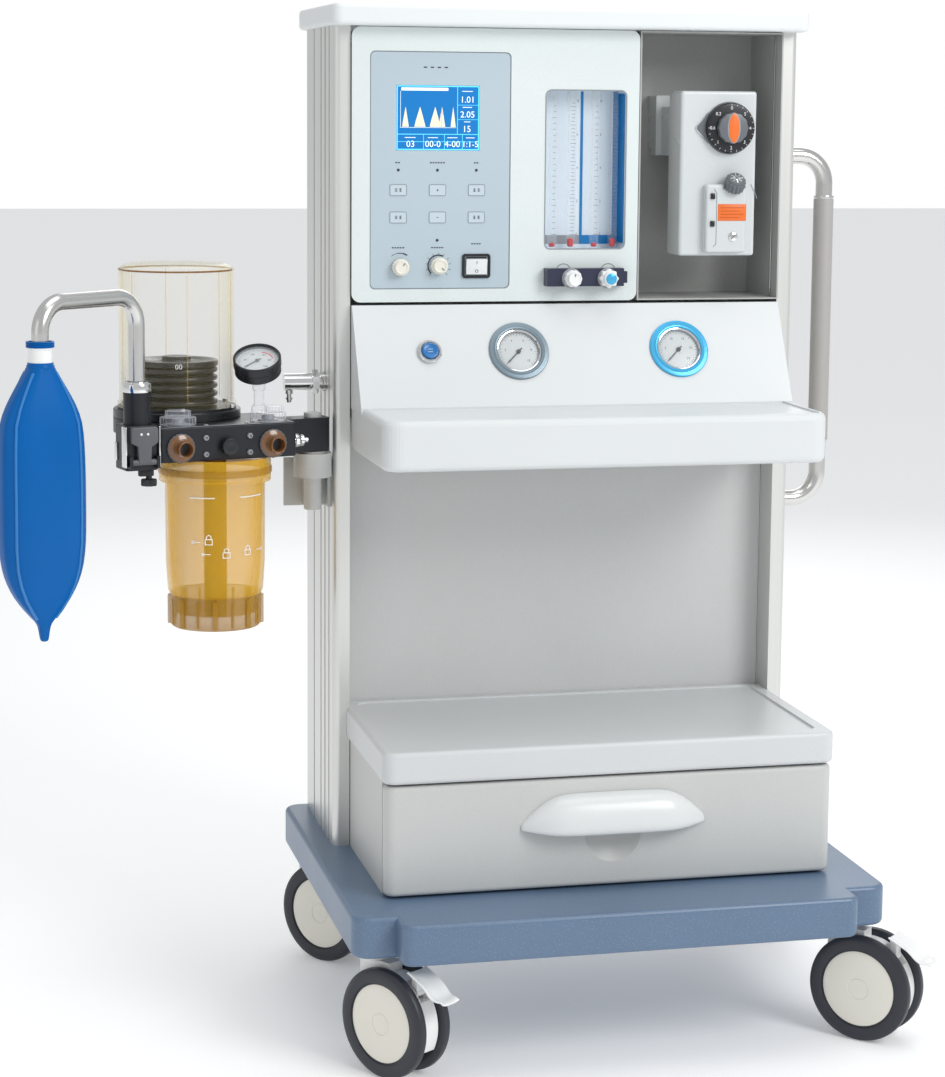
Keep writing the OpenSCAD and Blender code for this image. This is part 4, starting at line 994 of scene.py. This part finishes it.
CAN_FOOT, CAN_TOP = 543, 772.7
CAN = ARM @ move(-146, -8, CAN_FOOT)
R, TOP = 67, CAN_TOP - CAN_FOOT
shell = turned([(61, 44), (62, 46), (64, 50), (66.4, 90), (R, 195), (R + 1, 196.6),
                (R + 7.4, 197.6), (R + 8, 199), (R + 8, TOP - 1), (R + 7, TOP), (R + 3, TOP),
                (R + 3, 202), (R - 3, 199), (R - 6, 90), (58, 50), (57, 44), (61, 44)], 96)
piece("canister_shell", shell, CAN, "amber_clear", "canister", ["canister"])
foot = [(0, 12), (14, 12), (15, 14), (15, 19), (54, 19), (56, 44.6), (61.4, 44.6), (61.6, 40),
        (60.6, 3), (58.6, 0.6), (54, 0), (0, 0)]
piece("canister_foot", turned(foot, 96), CAN, "amber_foot", "canister")
piece("canister_ribs", [put(slab((58, -3.4, 2), (64.4, 3.4, 42), 1.6, 3), turn(22.5 + 45 * i))
                        for i in range(8)] + [put(slab((57, -1.2, 4), (62.4, 1.2, 40), 0.8, 2),
                                                  turn(45 * i)) for i in range(8)],
      CAN, "amber_foot", "canister")
piece("canister_tube", turned([(12.5, 13), (15.5, 13), (15.5, TOP - 2), (12.5, TOP - 2),
                               (12.5, 13)], 48), CAN, "amber_deep", "canister")
piece("canister_collar", turned([(R + 4.4, TOP - 22), (R + 8.6, TOP - 22), (R + 9.2, TOP - 20),
                                  (R + 9.2, TOP - 15), (R + 8.6, TOP - 13), (R + 4.4, TOP - 13),
                                  (R + 4.4, TOP - 22)], 96), CAN, "amber_foot", "canister")


def round_can(a0, a1, z, step=4, r=R + 0.1):
    """Points round the canister between two angles, seen from its front"""
    count = max(2, int(abs(a1 - a0) / step) + 1)
    return [polar(r, a0 + (a1 - a0) * i / (count - 1), z) for i in range(count)]


lines = [wire(round_can(-142, -112, 181), 0.9), wire(round_can(-82, -48, 181), 0.9)]
for a, z, way in ((-134, 122, -1), (-122, 106, -1), (-52, 108, 1)):
    lines.append(wire(round_can(a - 5, a + 5, z), 0.6))
    tip, barb = a + 5 * way, a + 2 * way
    lines.append(wire(round_can(barb, tip, z + 1.8) + round_can(tip, barb, z - 1.8), 0.5))
for a, z in ((-119, 124), (-99, 106), (-72, 108)):
    lines.append(wire([polar(R, a + da, z + dz)
                       for da, dz in ((-4, -5), (4, -5), (4, 2), (-4, 2))], 0.9, True))
    lines.append(wire([polar(R, a + da, z + dz)
                       for da, dz in ((-2.6, 2), (-2.6, 6), (0, 8), (2.6, 6), (2.6, 2))], 0.7))
piece("canister_marks", lines, CAN, "white_ink", "canister")

piece("bag_nut", turned([(14.8, 0.3), (18.6, 0.3), (19, 1.6), (19, 9.6), (18.4, 11), (16.4, 11.4),
                         (15.4, 14), (15.4, 0.3)], 48),
      BAG_ARM @ move(z=866), "chrome", "bag_arm")


# ---- Breathing bag ----

BAG = BAG_ARM @ move(179, 0, 0)


def lofted(rings, corner=0.75, segments=9):
    """A tube with a squarish section led up through rings (height, half width, half depth,
    shift), each drawn from the one below by extruding its rim"""
    deselect()
    mesh_ops.primitive_plane_add(size=2 * MM)
    o = bpy.context.object
    edit_all(o)
    mesh_ops.bevel(offset=corner * MM, segments=segments, affect="VERTICES")
    mesh_ops.select_all(action="SELECT")
    z, w, d, s = rings[0]
    bpy.ops.transform.resize(value=(w, d, 1), center_override=(0, 0, 0))
    bpy.ops.transform.translate(value=(s * MM, 0, z * MM))
    for (z0, w0, d0, s0), (z1, w1, d1, s1) in zip(rings, rings[1:]):
        mesh_ops.extrude_region_move(
            TRANSFORM_OT_translate={"value": ((s1 - s0) * MM, 0, (z1 - z0) * MM)})
        bpy.ops.transform.resize(value=(w1 / w0, d1 / d0, 1),
                                 center_override=(s1 * MM, 0, z1 * MM))
    return close_edit(o)


# Height, half width and half depth of the bag's sections
BODY = [(565, 3.4, 3.4), (567, 5, 5), (573, 6, 6), (583, 7.2, 7), (589, 9.6, 8.4), (596, 16, 11),
        (606, 25, 15), (621, 36.5, 19), (640, 46.5, 22.5), (661, 53, 25), (690, 56, 27.5),
        (720, 56.2, 29), (752, 56.2, 29.5), (784, 56, 29), (814, 55.2, 28), (842, 53, 26),
        (862, 45.5, 23.5), (876, 38, 21.5), (888, 31, 19.8), (898, 25, 18.4), (906, 19.6, 17.2),
        (911, 17, 16.6), (914, 16.4, 16.3)]
SAG, BAG_FOOT, BAG_HEIGHT = 0.8, 565, 349  # sideways bow, lowest point, length


def bow(z):
    return -SAG * sin(pi * (z - BAG_FOOT) / BAG_HEIGHT)


FACE = turn(20 - 222.7)  # the flat face looks forward and a little to the right
body = lofted([(z, w, d, bow(z)) for z, w, d in BODY])
modify(body, "SUBSURF", levels=1, render_levels=1)
piece("bag_body", put(body, FACE), BAG, "bag_rubber", "bag_arm", ["breathing_bag"],
      60)
SEAM = 0.78  # where the middle of a rounded corner lies, as a share of the half sizes
# The seam ridges are real; their lighter blue is a painted highlight along the bag's corners
seams = [wire([(sx * SEAM * w + bow(z), sy * SEAM * d, z)
               for z, w, d in BODY[5:-2]], 2)
         for sx in (-1, 1) for sy in (-1, 1)]
piece("bag_seams", put(join(seams), FACE), BAG, "bag_seam", "bag_arm",
      smooth=80)
collar = [(14.8, 908), (16.8, 908), (17.4, 910), (17.6, 913), (17, 915), (16.2, 916),
          (16.2, 918), (14.8, 918), (14.8, 908)]
piece("bag_collar", turned(collar, 48), BAG, "bag_rubber", "bag_arm")
piece("bag_connector", turned([(13.2, 917), (15.4, 917), (15.4, 934), (17, 935), (17, 937),
                               (13.2, 937), (13.2, 917)], 48), BAG, "gloss_white", "bag_arm")
ribs = [(14.4, 936.4)]
for i in range(4):
    z = 936.6 + 2.0 * i
    ribs += [(17.2, z), (18, z + 0.5), (18, z + 1.2), (17.2, z + 1.7)]
ribs += [(14.4, 944.4), (14.4, 936.4)]
piece("bag_ring", turned(ribs, 64), BAG, "bag_rubber", "bag_arm")


# ---- Foot brakes ----

for key in ("fl", "fr"):
    place = caster_place(key) @ move(0, -40, 46)
    deselect()
    mesh_ops.primitive_grid_add(x_subdivisions=8, y_subdivisions=12, size=1)
    pan = bpy.context.object
    edit_all(pan)
    bpy.ops.transform.resize(value=(35 * MM, 68 * MM, 1))
    bpy.ops.transform.translate(value=(0, -29 * MM, 0))
    for reach, lift in ((0.0170, 1.6), (0.0130, 1.4)):
        choose(pan, lambda v: abs(v.co.x) > reach, "vertices")
        bpy.ops.transform.translate(value=(0, 0, lift * MM))
    for row, (drop, widen) in enumerate(((0.8, 1.02), (1.4, 1.02), (2.0, 0.99), (1.2, 0.96),
                                         (-1.5, 0.94), (-3.2, 0.93))):
        limit = (-28 - 5.2 * row) * MM
        choose(pan, lambda v: v.co.y < limit, "vertices")
        bpy.ops.transform.translate(value=(0, 0, -drop * MM))
        bpy.ops.transform.resize(value=(widen, 1, 1))
    ops.mode_set(mode="OBJECT")
    modify(pan, "SOLIDIFY", thickness=3 * MM, offset=0)
    modify(pan, "BEVEL", width=1.0 * MM, segments=2)
    modify(pan, "SUBSURF", levels=1, render_levels=1)
    put(pan, move(z=24) @ turn(25, "X"))
    riser = slab((-7.7, -5, 0), (7.7, 5, 24), 1.2)
    pin = put(turned([(3, -7.7), (6, -7.7), (6, 7.7), (3, 7.7), (3, -7.7)], 32), turn(90, "Y"))
    piece("pedal_" + key, [pan, riser, pin], place, "gloss_white", "brake_" + key, ["brake_" + key],
          60)


# ---- Drawer pull ----

TIP_Z = -19  # height at which the pull's ends close, from its middle
LIP = [(0, 0, 25), (0, -5, 24.6), (0, -12, 22.5), (0, -19, 17), (0, -24.5, 8), (0, -27.5, -2),
       (0, -29, -12), (0, -29, -20), (0, -26.5, -25)]
TAPER = [(0, 1), (40, 1), (62, 0.985), (76, 0.94), (88, 0.83), (100, 0.66), (111, 0.45),
         (120, 0.24), (126, 0.07)]
pull = lead(LIP)
mesh_ops.select_all(action="SELECT")
for (x0, f0), (x1, f1) in zip(TAPER, TAPER[1:]):
    mesh_ops.extrude_region_move(TRANSFORM_OT_translate={"value": ((x1 - x0) * MM, 0, 0)})
    bpy.ops.transform.resize(value=(1, f1 / f0, f1 / f0),
                             center_override=(x1 * MM, 0, TIP_Z * MM))
close_edit(pull)
modify(pull, "MIRROR", use_axis=(True, False, False), merge_threshold=0.0001)
edit(pull)
close_edit(pull)
modify(pull, "SOLIDIFY", thickness=4 * MM, offset=0)
modify(pull, "SUBSURF", levels=2, render_levels=2)
piece("pull_shell", pull, at(0, -261, 317), "pull_white", "drawer", ["drawer_handle"],
      60)


# ---- Side handle ----

piece("handle_rings", [turned([(11.6, z), (14, z), (14.3, z + 0.8), (14.3, z + 3.2),
                               (14, z + 4), (11.6, z + 4), (11.6, z)], 48)
                       for z in (755.5, 1110.5)], at(415, 110, 0), "steel")


# ---- Bay edge strip ----

piece("bay_strip", slab((301.6, 18, 975), (303.2, 22, 1341), 0.5, 2), at(0, 0, 0), "steel")
